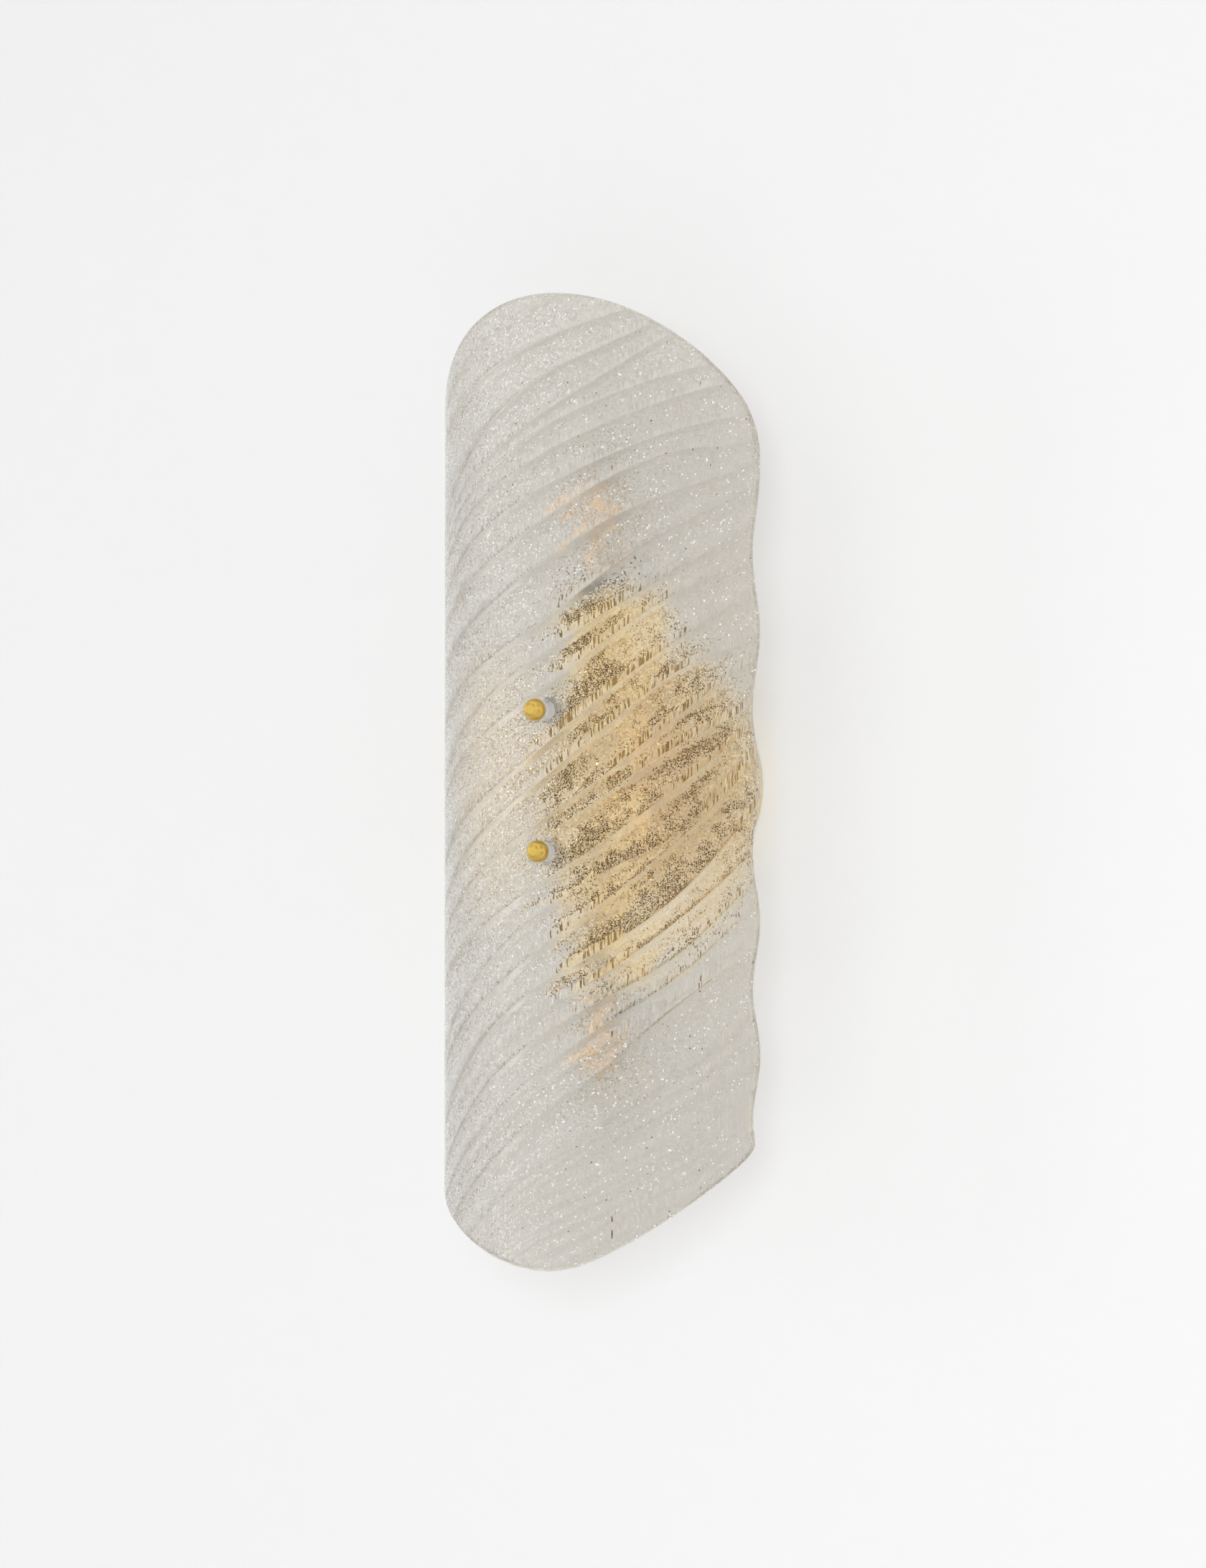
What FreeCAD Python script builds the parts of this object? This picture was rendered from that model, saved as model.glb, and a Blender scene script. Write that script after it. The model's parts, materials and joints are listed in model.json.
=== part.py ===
import FreeCAD, Part
import Sketcher
import math
import os

from FreeCAD import Placement, Rotation, Vector

# Wall sconce: a bent, ribbed glass shade on two studs in front of a lamp tube and a round backplate.
# The wall is the plane Y = 0 and the light stands out towards -Y. Z is up, X is to the right of someone
# who faces the wall. The origin is the middle of the backplate's rear. All sizes are in millimetres.

doc = FreeCAD.newDocument("WallSconce")
sheet = doc.addObject("Spreadsheet::Sheet", "Sizes")
rows = {}
parts = []


class Size:
    # a length that knows both its value and the sheet expression that it comes from
    def __init__(self, value, text):
        self.value = value
        self.text = text

    def join(self, other, sign, value, swap=False):
        text = other.text if isinstance(other, Size) else repr(other)
        first, second = (text, self.text) if swap else (self.text, text)
        return Size(value, "(%s %s %s)" % (first, sign, second))

    def __add__(self, other):
        return self.join(other, "+", self.value + number(other))

    def __radd__(self, other):
        return self.join(other, "+", number(other) + self.value, swap=True)

    def __sub__(self, other):
        return self.join(other, "-", self.value - number(other))

    def __rsub__(self, other):
        return self.join(other, "-", number(other) - self.value, swap=True)

    def __mul__(self, other):
        return self.join(other, "*", self.value * number(other))

    def __rmul__(self, other):
        return self.join(other, "*", number(other) * self.value, swap=True)

    def __truediv__(self, other):
        return self.join(other, "/", self.value / number(other))

    def __neg__(self):
        return Size(-self.value, "(0 - %s)" % self.text)


def number(size):
    return size.value if isinstance(size, Size) else float(size)


def size(name, value, note):
    # one driving dimension: a row of the sheet with its name, its value and what it is
    row = len(rows) + 1
    rows[name] = row
    sheet.set("A%d" % row, name)
    sheet.set("B%d" % row, str(value))
    sheet.set("C%d" % row, note)
    sheet.setAlias("B%d" % row, name)
    return Size(float(value), "Sizes.%s" % name)


# Shade
shade_height = size("shade_height", 457.2, "tallest height of the glass")
shade_radius = size("shade_radius", 90.9, "outer radius over the rib crests")
shade_axis = size("shade_axis", 25.0, "distance of the bend's axis from the wall")
shade_side = size("shade_side", 107.0, "from the centre line to a side edge, along the bend")
glass_thick = size("glass_thick", 5.0, "glass thickness under a rib valley")
rib_height = size("rib_height", 1.5, "rib crest above valley")
rib_pitch = size("rib_pitch", 11.2, "mean height from rib to rib on the centre line")
rib_rise = size("rib_rise", 0.79, "steepest rise of a rib per length along the bend")
rib_fall = size("rib_fall", 0.30, "loss of rise towards the top and the bottom")
rib_steepest = size("rib_steepest", 50.0, "steepest ribs below the middle")
rib_reach_up = size("rib_reach_up", 250.0, "height over which the rise falls off upwards")
rib_reach_down = size("rib_reach_down", 160.0, "depth over which the rise falls off downwards")
rib_bend_start = size("rib_bend_start", 40.0, "height above which the ribs flatten to the right")
rib_bend_reach = size("rib_bend_reach", 130.0, "height over which that sets in")
rib_bend_radius = size("rib_bend_radius", 250.0, "bend of the uppermost ribs")
rib_drift = size("rib_drift", 2.2, "slow unevenness of the rib spacing")
rib_jitter = size("rib_jitter", 1.0, "quick unevenness of the rib spacing")
wave_height = size("wave_height", 2.3, "wave of the side edges")
wave_pitch = size("wave_pitch", 68.0, "height from wave to wave")
wave_growth = size("wave_growth", 378.0, "height over which the waves spread by one")
top_corner_drop = size("top_corner_drop", 82.6, "top of the glass down to where its side edges start")
low_corner_rise = size("low_corner_rise", 60.6, "bottom of the glass up to where its side edges end")
top_drop = size("top_drop", 56.0, "drop of the top edge from the middle to the sides")
nose_right = size("nose_right", 25.3, "bluntness of the bottom nose on the right")
nose_left = size("nose_left", 18.6, "bluntness of the bottom nose on the left")
glass_hole = size("glass_hole", 8.0, "holes in the glass for the studs")

# Wall parts
plate_dia = size("plate_dia", 114.3, "backplate diameter")
plate_depth = size("plate_depth", 20.0, "backplate depth")
plate_wall = size("plate_wall", 1.2, "backplate sheet")
plate_round = size("plate_round", 4.0, "rounding of the backplate's front rim")
bar_length = size("bar_length", 104.0, "crossbar length")
bar_width = size("bar_width", 22.0, "crossbar width")
bar_thick = size("bar_thick", 2.0, "crossbar thickness")
box_spacing = size("box_spacing", 83.0, "outlet box screws, centre to centre")
slot_width = size("slot_width", 4.8, "width of the box screw slots")
slot_length = size("slot_length", 11.0, "length of the box screw slots")
ground_place = size("ground_place", 16.0, "ground screw above the centre")

# Studs and what is on them
stud_dia = size("stud_dia", 4.0, "thread diameter of the studs")
stud_spacing = size("stud_spacing", 65.9, "between the two studs")
stud_gap = size("stud_gap", 0.7, "left between a stud's end and the bottom of the lower finial's thread")
nut_width = size("nut_width", 7.0, "hexagon nuts, across flats")
nut_thick = size("nut_thick", 3.2, "hexagon nuts, thickness")
plate_nut_dia = size("plate_nut_dia", 9.5, "round nuts on the backplate")
plate_nut_thick = size("plate_nut_thick", 5.0, "thickness of the round nuts")
washer_dia = size("washer_dia", 13.0, "stop washers and inner washers")
washer_thick = size("washer_thick", 1.0, "stop washers")
pad_thick = size("pad_thick", 1.5, "soft inner washers")
collar_dia = size("collar_dia", 9.8, "clear collar between ball and glass")
upper_collar = size("upper_collar", 6.9, "length of the upper collar in front of its seat")
lower_collar = size("lower_collar", 4.8, "length of the lower collar in front of its seat")
spigot_dia = size("spigot_dia", 7.2, "collar's spigot in the glass hole")
spigot_length = size("spigot_length", 3.0, "length of the spigot")
upper_seat = size("upper_seat", 115.2, "wall to the upper seat on the glass")
lower_seat = size("lower_seat", 114.2, "wall to the lower seat on the glass")
ball_dia = size("ball_dia", 10.3, "ball of the finials")
ball_back = size("ball_back", 4.4, "ball centre to its rear flat")
ball_front = size("ball_front", 4.7, "ball centre to its front flat")
ball_bore = size("ball_bore", 8.3, "depth of the finial's thread")

# Lamp tube and stem
tube_dia = size("tube_dia", 25.4, "lamp tube diameter")
tube_wall = size("tube_wall", 1.4, "lamp tube wall")
tube_length = size("tube_length", 176.0, "lamp tube length")
tube_axis = size("tube_axis", 54.0, "wall to the lamp tube's axis")
stem_dia = size("stem_dia", 10.0, "hollow stem diameter")
stem_bore = size("stem_bore", 7.4, "hollow stem bore")
stem_rear = size("stem_rear", 13.0, "wall to the stem's rear end")
stem_nut_width = size("stem_nut_width", 14.0, "stem locknut across flats")
stem_nut_thick = size("stem_nut_thick", 3.0, "stem locknut thickness")
spacer_dia = size("spacer_dia", 16.0, "spacer between backplate and tube")
saddle_width = size("saddle_width", 15.0, "saddle nut inside the tube")
saddle_thick = size("saddle_thick", 4.5, "saddle nut thickness at its middle")

# Lampholders and bulbs
holder_length = size("holder_length", 34.0, "lampholder inside the tube")
holder_rim = size("holder_rim", 4.0, "lampholder rim outside the tube")
holder_floor = size("holder_floor", 12.0, "solid bottom of the lampholder")
shell_dia = size("shell_dia", 13.6, "screw shell diameter")
shell_wall = size("shell_wall", 0.5, "screw shell sheet")
base_dia = size("base_dia", 11.9, "bulb base diameter")
base_length = size("base_length", 17.0, "bulb base length")
insulator_length = size("insulator_length", 3.0, "bulb insulator below the base")
tip_dia = size("tip_dia", 4.6, "bulb tip diameter")
tip_length = size("tip_length", 1.0, "bulb tip length")
contact_thick = size("contact_thick", 0.5, "contact strip")
contact_rise = size("contact_rise", 3.0, "contact strip above the lampholder's floor")
bulb_dia = size("bulb_dia", 35.0, "bulb globe diameter")
bulb_length = size("bulb_length", 77.0, "globe length above the base")
bulb_wall = size("bulb_wall", 0.8, "globe glass")
filament_length = size("filament_length", 38.0, "filament length")
filament_dia = size("filament_dia", 1.8, "filament diameter")
filament_circle = size("filament_circle", 11.0, "circle on which the filaments stand")
filament_start = size("filament_start", 13.0, "base to the filaments' lower ends")
wire_dia = size("wire_dia", 0.8, "support wires in the bulb")

# Leads
lead_dia = size("lead_dia", 2.0, "insulated leads")
cap_dia = size("cap_dia", 10.0, "wire connector diameter")
cap_length = size("cap_length", 18.0, "wire connector length")

fit = size("fit", 0.05, "radial clearance of running fits")
slack = size("slack", 0.3, "clearance between loose neighbours")


def add_part(obj, name):
    # names the finished sub-part and keeps it for the export
    obj.Label = name
    parts.append(obj)
    return obj


def bind(obj, prop, length):
    # ties a property to the sheet
    if isinstance(length, Size):
        obj.setExpression(prop, length.text)
    else:
        setattr(obj, prop, length)


def move(obj, x=0, y=0, z=0):
    # places an object by lengths from the sheet
    for axis, length in (("x", x), ("y", y), ("z", z)):
        if isinstance(length, Size):
            obj.setExpression("Placement.Base.%s" % axis, length.text)
    obj.Placement.Base = Vector(number(x), number(y), number(z))


def plane_of(body, role):
    return next(item for item in body.Origin.OriginFeatures if item.Role == role)


def new_sketch(body, name, role):
    sketch = body.newObject("Sketcher::SketchObject", name)
    sketch.AttachmentSupport = [(plane_of(body, role), "")]
    sketch.MapMode = "FlatFace"
    return sketch


def pin_point(sketch, edge, end, x, y):
    # fixes one end of a sketch edge by its distances from the sketch's origin
    for kind, length in (("DistanceX", x), ("DistanceY", y)):
        if number(length) == 0 and not isinstance(length, Size):
            axis = -2 if kind == "DistanceX" else -1
            sketch.addConstraint(Sketcher.Constraint("PointOnObject", edge, end, axis))
            continue
        index = sketch.addConstraint(Sketcher.Constraint(kind, -1, 1, edge, end, number(length)))
        if isinstance(length, Size):
            sketch.setExpression("Constraints[%d]" % index, length.text)


def pin_height(sketch, edge, height):
    # fixes only the height of an arc's centre
    index = sketch.addConstraint(Sketcher.Constraint("DistanceY", -1, 1, edge, 3, number(height)))
    if isinstance(height, Size):
        sketch.setExpression("Constraints[%d]" % index, height.text)


def arc_geometry(start, end, radius):
    # an arc from start to end; a positive radius turns anticlockwise
    (x1, y1), (x2, y2) = start, end
    chord = math.hypot(x2 - x1, y2 - y1)
    rise = math.sqrt(max(radius * radius - chord * chord / 4, 0))
    side = 1 if radius > 0 else -1
    centre = Vector((x1 + x2) / 2 - side * rise * (y2 - y1) / chord,
                    (y1 + y2) / 2 + side * rise * (x2 - x1) / chord, 0)
    first, last = ((x1, y1), (x2, y2)) if radius > 0 else ((x2, y2), (x1, y1))
    angle = [math.atan2(y - centre.y, x - centre.x) for x, y in (first, last)]
    circle = Part.Circle(centre, Vector(0, 0, 1), abs(radius))
    return Part.ArcOfCircle(circle, angle[0], angle[1])


def add_loop(sketch, points):
    # a closed loop; each point is (x, y), or (x, y, radius) where an arc leads on to the next point;
    # a half circle with a level chord has its centre's height instead of a radius
    ends = []
    first = sketch.GeometryCount
    for index, point in enumerate(points):
        follow = points[(index + 1) % len(points)]
        start = (number(point[0]), number(point[1]))
        stop = (number(follow[0]), number(follow[1]))
        if len(point) > 2:
            edge = sketch.addGeometry(arc_geometry(start, stop, number(point[2])), False)
            ends.append((1, 2) if number(point[2]) > 0 else (2, 1))
        else:
            line = Part.LineSegment(Vector(start[0], start[1], 0), Vector(stop[0], stop[1], 0))
            edge = sketch.addGeometry(line, False)
            ends.append((1, 2))
    count = len(points)
    for index in range(count):
        follow = (index + 1) % count
        sketch.addConstraint(Sketcher.Constraint(
            "Coincident", first + index, ends[index][1], first + follow, ends[follow][0]))
        pin_point(sketch, first + index, ends[index][0], points[index][0], points[index][1])
        if len(points[index]) == 4:
            pin_height(sketch, first + index, points[index][3])
        if len(points[index]) == 3:
            radius = points[index][2]
            place = sketch.addConstraint(Sketcher.Constraint("Radius", first + index, abs(number(radius))))
            if isinstance(radius, Size):
                turn = radius if radius.value > 0 else -radius
                sketch.setExpression("Constraints[%d]" % place, turn.text)


def add_circle(sketch, x, y, dia):
    circle = Part.Circle(Vector(number(x), number(y), 0), Vector(0, 0, 1), number(dia) / 2)
    edge = sketch.addGeometry(circle, False)
    pin_point(sketch, edge, 3, x, y)
    place = sketch.addConstraint(Sketcher.Constraint("Diameter", edge, number(dia)))
    if isinstance(dia, Size):
        sketch.setExpression("Constraints[%d]" % place, dia.text)


def turned(name, points, role="XY_Plane"):
    # a turned body: points are (radius, place along the axis); the axis is Y on the XY plane, Z on the XZ plane
    body = doc.addObject("PartDesign::Body", name)
    sketch = new_sketch(body, name + "_profile", role)
    add_loop(sketch, points)
    turn = body.newObject("PartDesign::Revolution", name + "_turned")
    turn.Profile = sketch
    turn.ReferenceAxis = (sketch, ["V_Axis"])
    turn.Angle = 360
    sketch.Visibility = False
    return body


def padded(name, length, loops=(), circles=(), role="XZ_Plane", middle=False, backwards=False):
    # an extruded body with any number of loops and circles in one sketch
    body = doc.addObject("PartDesign::Body", name)
    sketch = new_sketch(body, name + "_profile", role)
    for points in loops:
        add_loop(sketch, points)
    for circle in circles:
        add_circle(sketch, *circle)
    pad = body.newObject("PartDesign::Pad", name + "_pad")
    pad.Profile = sketch
    bind(pad, "Length", length)
    pad.Midplane = middle
    pad.Reversed = backwards
    return body


def pocketed(body, name, length, loops=(), circles=(), role="XZ_Plane", middle=True):
    # a cut through the body, which has to take something away
    doc.recompute()
    before = body.Shape.Volume
    sketch = new_sketch(body, name + "_profile", role)
    for points in loops:
        add_loop(sketch, points)
    for circle in circles:
        add_circle(sketch, *circle)
    pocket = body.newObject("PartDesign::Pocket", name)
    pocket.Profile = sketch
    bind(pocket, "Length", length)
    pocket.Midplane = middle
    doc.recompute()
    if not body.Shape.Volume < before - 1e-6:
        raise ValueError("%s cut nothing" % name)
    return pocket


def mirrored(source, name):
    # the same piece upside down, below the centre
    mirror = doc.addObject("Part::Mirroring", name)
    mirror.Source = source
    mirror.Normal = Vector(0, 0, 1)
    mirror.Base = Vector(0, 0, 0)
    return mirror


def grouped(items, name):
    # several separate solids that share one node
    group = doc.addObject("Part::Compound", name)
    group.Links = items
    return add_part(group, name)


def mirrored_pair(name, make):
    # two alike pieces, one above and one below the centre, as two nodes
    upper = add_part(make(name + "_upper"), name + "_upper")
    lower = add_part(mirrored(upper, name + "_lower"), name + "_lower")
    return upper, lower


def hexagon(width):
    # corners of a hexagon with two flats level
    corner = width * (1 / math.sqrt(3))
    half = corner * 0.5
    flat = width * 0.5
    return [(corner, 0), (half, flat), (-half, flat), (-corner, 0), (-half, -flat), (half, -flat)]


# Lengths that follow from the driving ones
stud_place = stud_spacing / 2
stud_length = lower_seat + lower_collar + ball_bore - stud_gap
top_corner = shade_height / 2 - top_corner_drop
low_corner = shade_height / 2 - low_corner_rise
plate_inner = plate_depth - plate_wall
tube_inner = tube_dia / 2 - tube_wall
tube_half = tube_length / 2
holder_low = tube_half - holder_length
base_low = holder_low + holder_floor + contact_rise + slack + tip_length + insulator_length
shell_low = holder_low + holder_floor
globe_low = base_low + base_length


def make_crossbar():
    # the strap that is screwed to the outlet box; it lies on the wall and carries both studs
    half_length = bar_length / 2
    half_width = bar_width / 2
    outline = [(-half_width, -half_length), (half_width, -half_length),
               (half_width, half_length), (-half_width, half_length)]
    body = padded("crossbar", bar_thick, [outline])
    radius = slot_width / 2
    straight = (slot_length - slot_width) / 2
    for place, name in ((box_spacing / 2, "upper_slot"), (-box_spacing / 2, "lower_slot")):
        high = place + straight
        low = place - straight
        slot = [(radius, low), (radius, high, radius, high), (-radius, high), (-radius, low, radius, low)]
        pocketed(body, name, bar_thick * 4, [slot])
    holes = [(0, stud_place, stud_dia + fit * 2), (0, -stud_place, stud_dia + fit * 2),
             (0, ground_place, stud_dia + fit * 2)]
    pocketed(body, "thread_holes", bar_thick * 4, circles=holes)
    fillet = body.newObject("PartDesign::Fillet", "crossbar_corners")
    corners = [index + 1 for index, edge in enumerate(body.Shape.Edges)
               if is_bar_corner(edge)]
    fillet.Base = (body.Tip if body.Tip != fillet else fillet.BaseFeature, ["Edge%d" % index for index in corners])
    fillet.Radius = 3
    add_part(body, "crossbar")


def is_bar_corner(edge):
    # an edge along Y at one of the strap's four outer corners
    ends = [vertex.Point for vertex in edge.Vertexes]
    if len(ends) != 2 or abs(ends[0].x - ends[1].x) + abs(ends[0].z - ends[1].z) > 1e-6:
        return False
    return (abs(abs(ends[0].x) - number(bar_width) / 2) < 1e-6
            and abs(abs(ends[0].z) - number(bar_length) / 2) < 1e-6)


def make_ground_screw():
    # green screw in the strap, with a slotted pan head that holds the ground lead
    shank = stud_dia / 2
    head = stud_dia
    points = [(0, 0), (shank, 0), (shank, -bar_thick - lead_dia), (head, -bar_thick - lead_dia),
              (head, -bar_thick - lead_dia - 1.6), (head - 0.8, -bar_thick - lead_dia - 2.4),
              (0, -bar_thick - lead_dia - 2.4)]
    body = turned("ground_screw", points)
    slot = [(-head, -0.4), (head, -0.4), (head, 0.4), (-head, 0.4)]
    doc.recompute()
    before = body.Shape.Volume
    sketch = new_sketch(body, "driver_slot_profile", "XZ_Plane")
    sketch.AttachmentOffset = Placement(Vector(0, 0, number(bar_thick + lead_dia) + 1.4), Rotation())
    sketch.setExpression("AttachmentOffset.Base.z", (bar_thick + lead_dia + 1.4).text)
    add_loop(sketch, slot)
    pocket = body.newObject("PartDesign::Pocket", "driver_slot")
    pocket.Profile = sketch
    pocket.Length = 2
    pocket.Reversed = True
    doc.recompute()
    if not body.Shape.Volume < before - 1e-6:
        raise ValueError("driver slot cut nothing")
    move(body, z=ground_place)
    add_part(body, "ground_screw")


def make_backplate():
    # spun dish, open to the wall, with a hole for the stem and one for each stud
    outer = plate_dia / 2
    inner = outer - plate_wall
    bend = plate_round
    inner_bend = plate_round - plate_wall
    points = [(inner, 0), (outer, 0), (outer, -(plate_depth - bend), -bend),
              (outer - bend, -plate_depth), (0, -plate_depth), (0, -plate_inner),
              (outer - bend, -plate_inner, inner_bend), (inner, -(plate_depth - bend))]
    body = turned("backplate", points)
    holes = [(0, 0, stem_dia + slack * 2), (0, stud_place, stud_dia + slack * 2),
             (0, -stud_place, stud_dia + slack * 2)]
    pocketed(body, "backplate_holes", plate_depth * 4, circles=holes)
    add_part(body, "backplate")


def make_studs():
    # threaded rods from the strap, through plate and tube, to the finials
    radius = stud_dia / 2
    bevel = 0.5
    points = [(0, 0), (radius, 0), (radius, -(stud_length - bevel)), (radius - bevel, -stud_length),
              (0, -stud_length)]
    upper = turned("stud_upper", points)
    move(upper, z=stud_place)
    add_part(upper, "stud_upper")
    add_part(mirrored(upper, "stud_lower"), "stud_lower")


def ring(name, outer, inner, thick, front, place=stud_place):
    # a plain ring round a stud, whose rear face lies at front from the wall
    points = [(inner / 2, 0), (outer / 2, 0), (outer / 2, -thick), (inner / 2, -thick)]
    body = turned(name, points)
    move(body, y=-front, z=place)
    return body


def hex_nut(name, front, place):
    # a hexagon nut whose rear face lies at front from the wall
    body = padded(name, nut_thick, [hexagon(nut_width)], [(0, 0, stud_dia + fit * 2)])
    move(body, y=-front, z=place)
    return body


def make_stud_hardware():
    # locknuts on the strap, round nuts on the plate, and the stop behind the glass
    bore = stud_dia + fit * 2
    locknut = hex_nut("locknut", bar_thick, stud_place)
    grouped([locknut, mirrored(locknut, "locknut_low")], "stud_locknuts")
    plate_nut = ring("plate_nut", plate_nut_dia, bore, plate_nut_thick, plate_depth)
    grouped([plate_nut, mirrored(plate_nut, "plate_nut_low")], "plate_nuts")
    inner_face = glass_thick + rib_height
    glass_back = shade_axis + shade_radius - inner_face
    pads, washers, nuts = [], [], []
    for sign, side in ((1, "up"), (-1, "low")):
        place = stud_place if sign > 0 else -stud_place
        pads.append(ring("pad_" + side, washer_dia, bore, pad_thick, glass_back - pad_thick - seat_cut, place))
        washers.append(ring("washer_" + side, washer_dia, bore, washer_thick,
                            glass_back - pad_thick - seat_cut - washer_thick, place))
        nuts.append(hex_nut("nut_" + side, glass_back - pad_thick - seat_cut - washer_thick - nut_thick, place))
    grouped(pads, "inner_washers")
    grouped(washers, "stop_washers")
    grouped(nuts, "stop_nuts")


# The inner washers lie on spot-faced seats in the bent glass, this deep above its inner face
seat_cut = size("seat_cut", 0.3, "depth left out behind the glass for the flat washer")


def make_collars_and_finials():
    # clear collars with a spigot in the glass, and the ball finials screwed on the studs
    for side, seat, length, place in (("upper", upper_seat, upper_collar, stud_place),
                                      ("lower", lower_seat, lower_collar, -stud_place)):
        bore = stud_dia / 2 + slack
        collar = turned("collar_" + side, [
            (bore, spigot_length), (spigot_dia / 2, spigot_length), (spigot_dia / 2, 0),
            (collar_dia / 2, 0), (collar_dia / 2, -length), (bore, -length)])
        move(collar, y=-seat, z=place)
        add_part(collar, "collar_" + side)
        finial = make_finial("finial_" + side)
        move(finial, y=-(seat + length + ball_back), z=place)
        add_part(finial, "finial_" + side)


def make_finial(name):
    # a ball with a rear flat, a small front flat and a blind thread
    radius = ball_dia / 2
    rear = chord_radius(ball_back)
    front = chord_radius(ball_front)
    bore = stud_dia / 2 + fit
    points = [(bore, ball_back), (rear, ball_back, -radius), (front, -ball_front), (0, -ball_front),
              (0, ball_back - ball_bore), (bore, ball_back - ball_bore)]
    return turned(name, points)


def chord_radius(distance):
    # radius of the ball's flat at a distance from its centre
    radius = ball_dia / 2
    value = math.sqrt(radius.value ** 2 - distance.value ** 2)
    return Size(value, "sqrt(%s ^ 2 - %s ^ 2)" % (radius.text, distance.text))


def make_lamp_tube():
    # upright tube with a hole for the stem at the back and two holes through it for the studs
    half = tube_half
    points = [(tube_inner, -half), (tube_dia / 2, -half), (tube_dia / 2, half), (tube_inner, half)]
    body = turned("lamp_tube", points, "XZ_Plane")
    stud_holes = [(0, stud_place, stud_dia + slack * 2), (0, -stud_place, stud_dia + slack * 2)]
    pocketed(body, "stud_holes", tube_dia * 2, circles=stud_holes)
    doc.recompute()
    before = body.Shape.Volume
    sketch = new_sketch(body, "stem_hole_profile", "XZ_Plane")
    add_circle(sketch, 0, 0, stem_dia + fit * 2)
    pocket = body.newObject("PartDesign::Pocket", "stem_hole")
    pocket.Profile = sketch
    bind(pocket, "Length", tube_dia)
    doc.recompute()
    if not body.Shape.Volume < before - 1e-6:
        raise ValueError("stem hole cut nothing")
    if body.Shape.isInside(Vector(0, number(tube_dia) / 2 - 0.1, 0), 1e-6, True):
        pocket.Reversed = True
    drill_grub_holes(body)
    move(body, y=-tube_axis)
    add_part(body, "lamp_tube")


def drill_grub_holes(body):
    # small threaded holes at the back of the tube for the lampholders' grub screws
    places = [(0, grub_place, grub_dia + fit * 2), (0, -grub_place, grub_dia + fit * 2)]
    doc.recompute()
    before = body.Shape.Volume
    sketch = new_sketch(body, "grub_holes_profile", "XZ_Plane")
    for x, z, dia in places:
        add_circle(sketch, x, z, dia)
    pocket = body.newObject("PartDesign::Pocket", "grub_holes")
    pocket.Profile = sketch
    bind(pocket, "Length", tube_dia)
    doc.recompute()
    if body.Shape.isInside(Vector(0, number(tube_dia) / 2 - 0.1, number(grub_place)), 1e-6, True):
        pocket.Reversed = True
    doc.recompute()
    if not body.Shape.Volume < before - 1e-6:
        raise ValueError("grub holes cut nothing")


grub_dia = size("grub_dia", 3.0, "grub screws that hold the lampholders")
grub_length = size("grub_length", 3.4, "length of a grub screw")
grub_place = holder_low + holder_floor / 2


def make_grub_screws():
    # headless screws flush with the back of the tube, biting on the lampholders
    radius = grub_dia / 2
    points = [(0, 0), (radius, 0), (radius, -grub_length), (0, -grub_length)]
    body = turned("grub_screw", points)
    move(body, y=-(tube_axis - tube_dia / 2), z=grub_place)
    grouped([body, mirrored(body, "grub_screw_low")], "grub_screws")


def make_stem():
    # hollow threaded stem that carries the lamp tube and lets the leads through
    length = tube_axis - tube_inner + saddle_thick - stem_rear
    points = [(stem_bore / 2, 0), (stem_dia / 2, 0), (stem_dia / 2, -length), (stem_bore / 2, -length)]
    stem = turned("stem", points)
    move(stem, y=-stem_rear)
    add_part(stem, "stem")
    nut = padded("stem_locknut", stem_nut_thick, [hexagon(stem_nut_width)], [(0, 0, stem_dia + fit * 2)])
    move(nut, y=-(plate_inner - stem_nut_thick))
    add_part(nut, "stem_locknut")


def make_spacer():
    # turned brass spacer, flat on the plate and hollowed to sit on the round tube
    blank = doc.addObject("Part::Cylinder", "spacer_blank")
    bind(blank, "Radius", spacer_dia / 2)
    bind(blank, "Height", tube_axis - plate_depth)
    blank.Placement = Placement(Vector(0, -number(plate_depth), 0), Rotation(Vector(1, 0, 0), 90))
    move(blank, y=-plate_depth)
    bore = doc.addObject("Part::Cylinder", "spacer_bore")
    bind(bore, "Radius", stem_dia / 2 + fit)
    bind(bore, "Height", tube_axis)
    bore.Placement = Placement(Vector(0, 0, 0), Rotation(Vector(1, 0, 0), 90))
    seat = doc.addObject("Part::Cylinder", "spacer_seat")
    bind(seat, "Radius", tube_dia / 2)
    bind(seat, "Height", spacer_dia * 2)
    move(seat, y=-tube_axis, z=-spacer_dia)
    tools = doc.addObject("Part::Fuse", "spacer_tools")
    tools.Base = bore
    tools.Tool = seat
    spacer = doc.addObject("Part::Cut", "stem_spacer")
    spacer.Base = blank
    spacer.Tool = tools
    add_part(spacer, "stem_spacer")


def make_saddle_nut():
    # block inside the tube, curved to its wall, into which the stem screws
    block = doc.addObject("Part::Box", "saddle_block")
    bind(block, "Length", saddle_width)
    bind(block, "Width", saddle_thick)
    bind(block, "Height", saddle_width)
    move(block, -(saddle_width / 2), -(tube_axis - tube_inner + saddle_thick), -(saddle_width / 2))
    inside = doc.addObject("Part::Cylinder", "saddle_curve")
    bind(inside, "Radius", tube_inner)
    bind(inside, "Height", saddle_width * 2)
    move(inside, y=-tube_axis, z=-saddle_width)
    curved = doc.addObject("Part::Common", "saddle_curved")
    curved.Base = block
    curved.Tool = inside
    bore = doc.addObject("Part::Cylinder", "saddle_bore")
    bind(bore, "Radius", stem_dia / 2 + fit)
    bind(bore, "Height", tube_axis + tube_dia)
    bore.Placement = Placement(Vector(0, 0, 0), Rotation(Vector(1, 0, 0), 90))
    nut = doc.addObject("Part::Cut", "saddle_nut")
    nut.Base = curved
    nut.Tool = bore
    add_part(nut, "saddle_nut")


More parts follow.
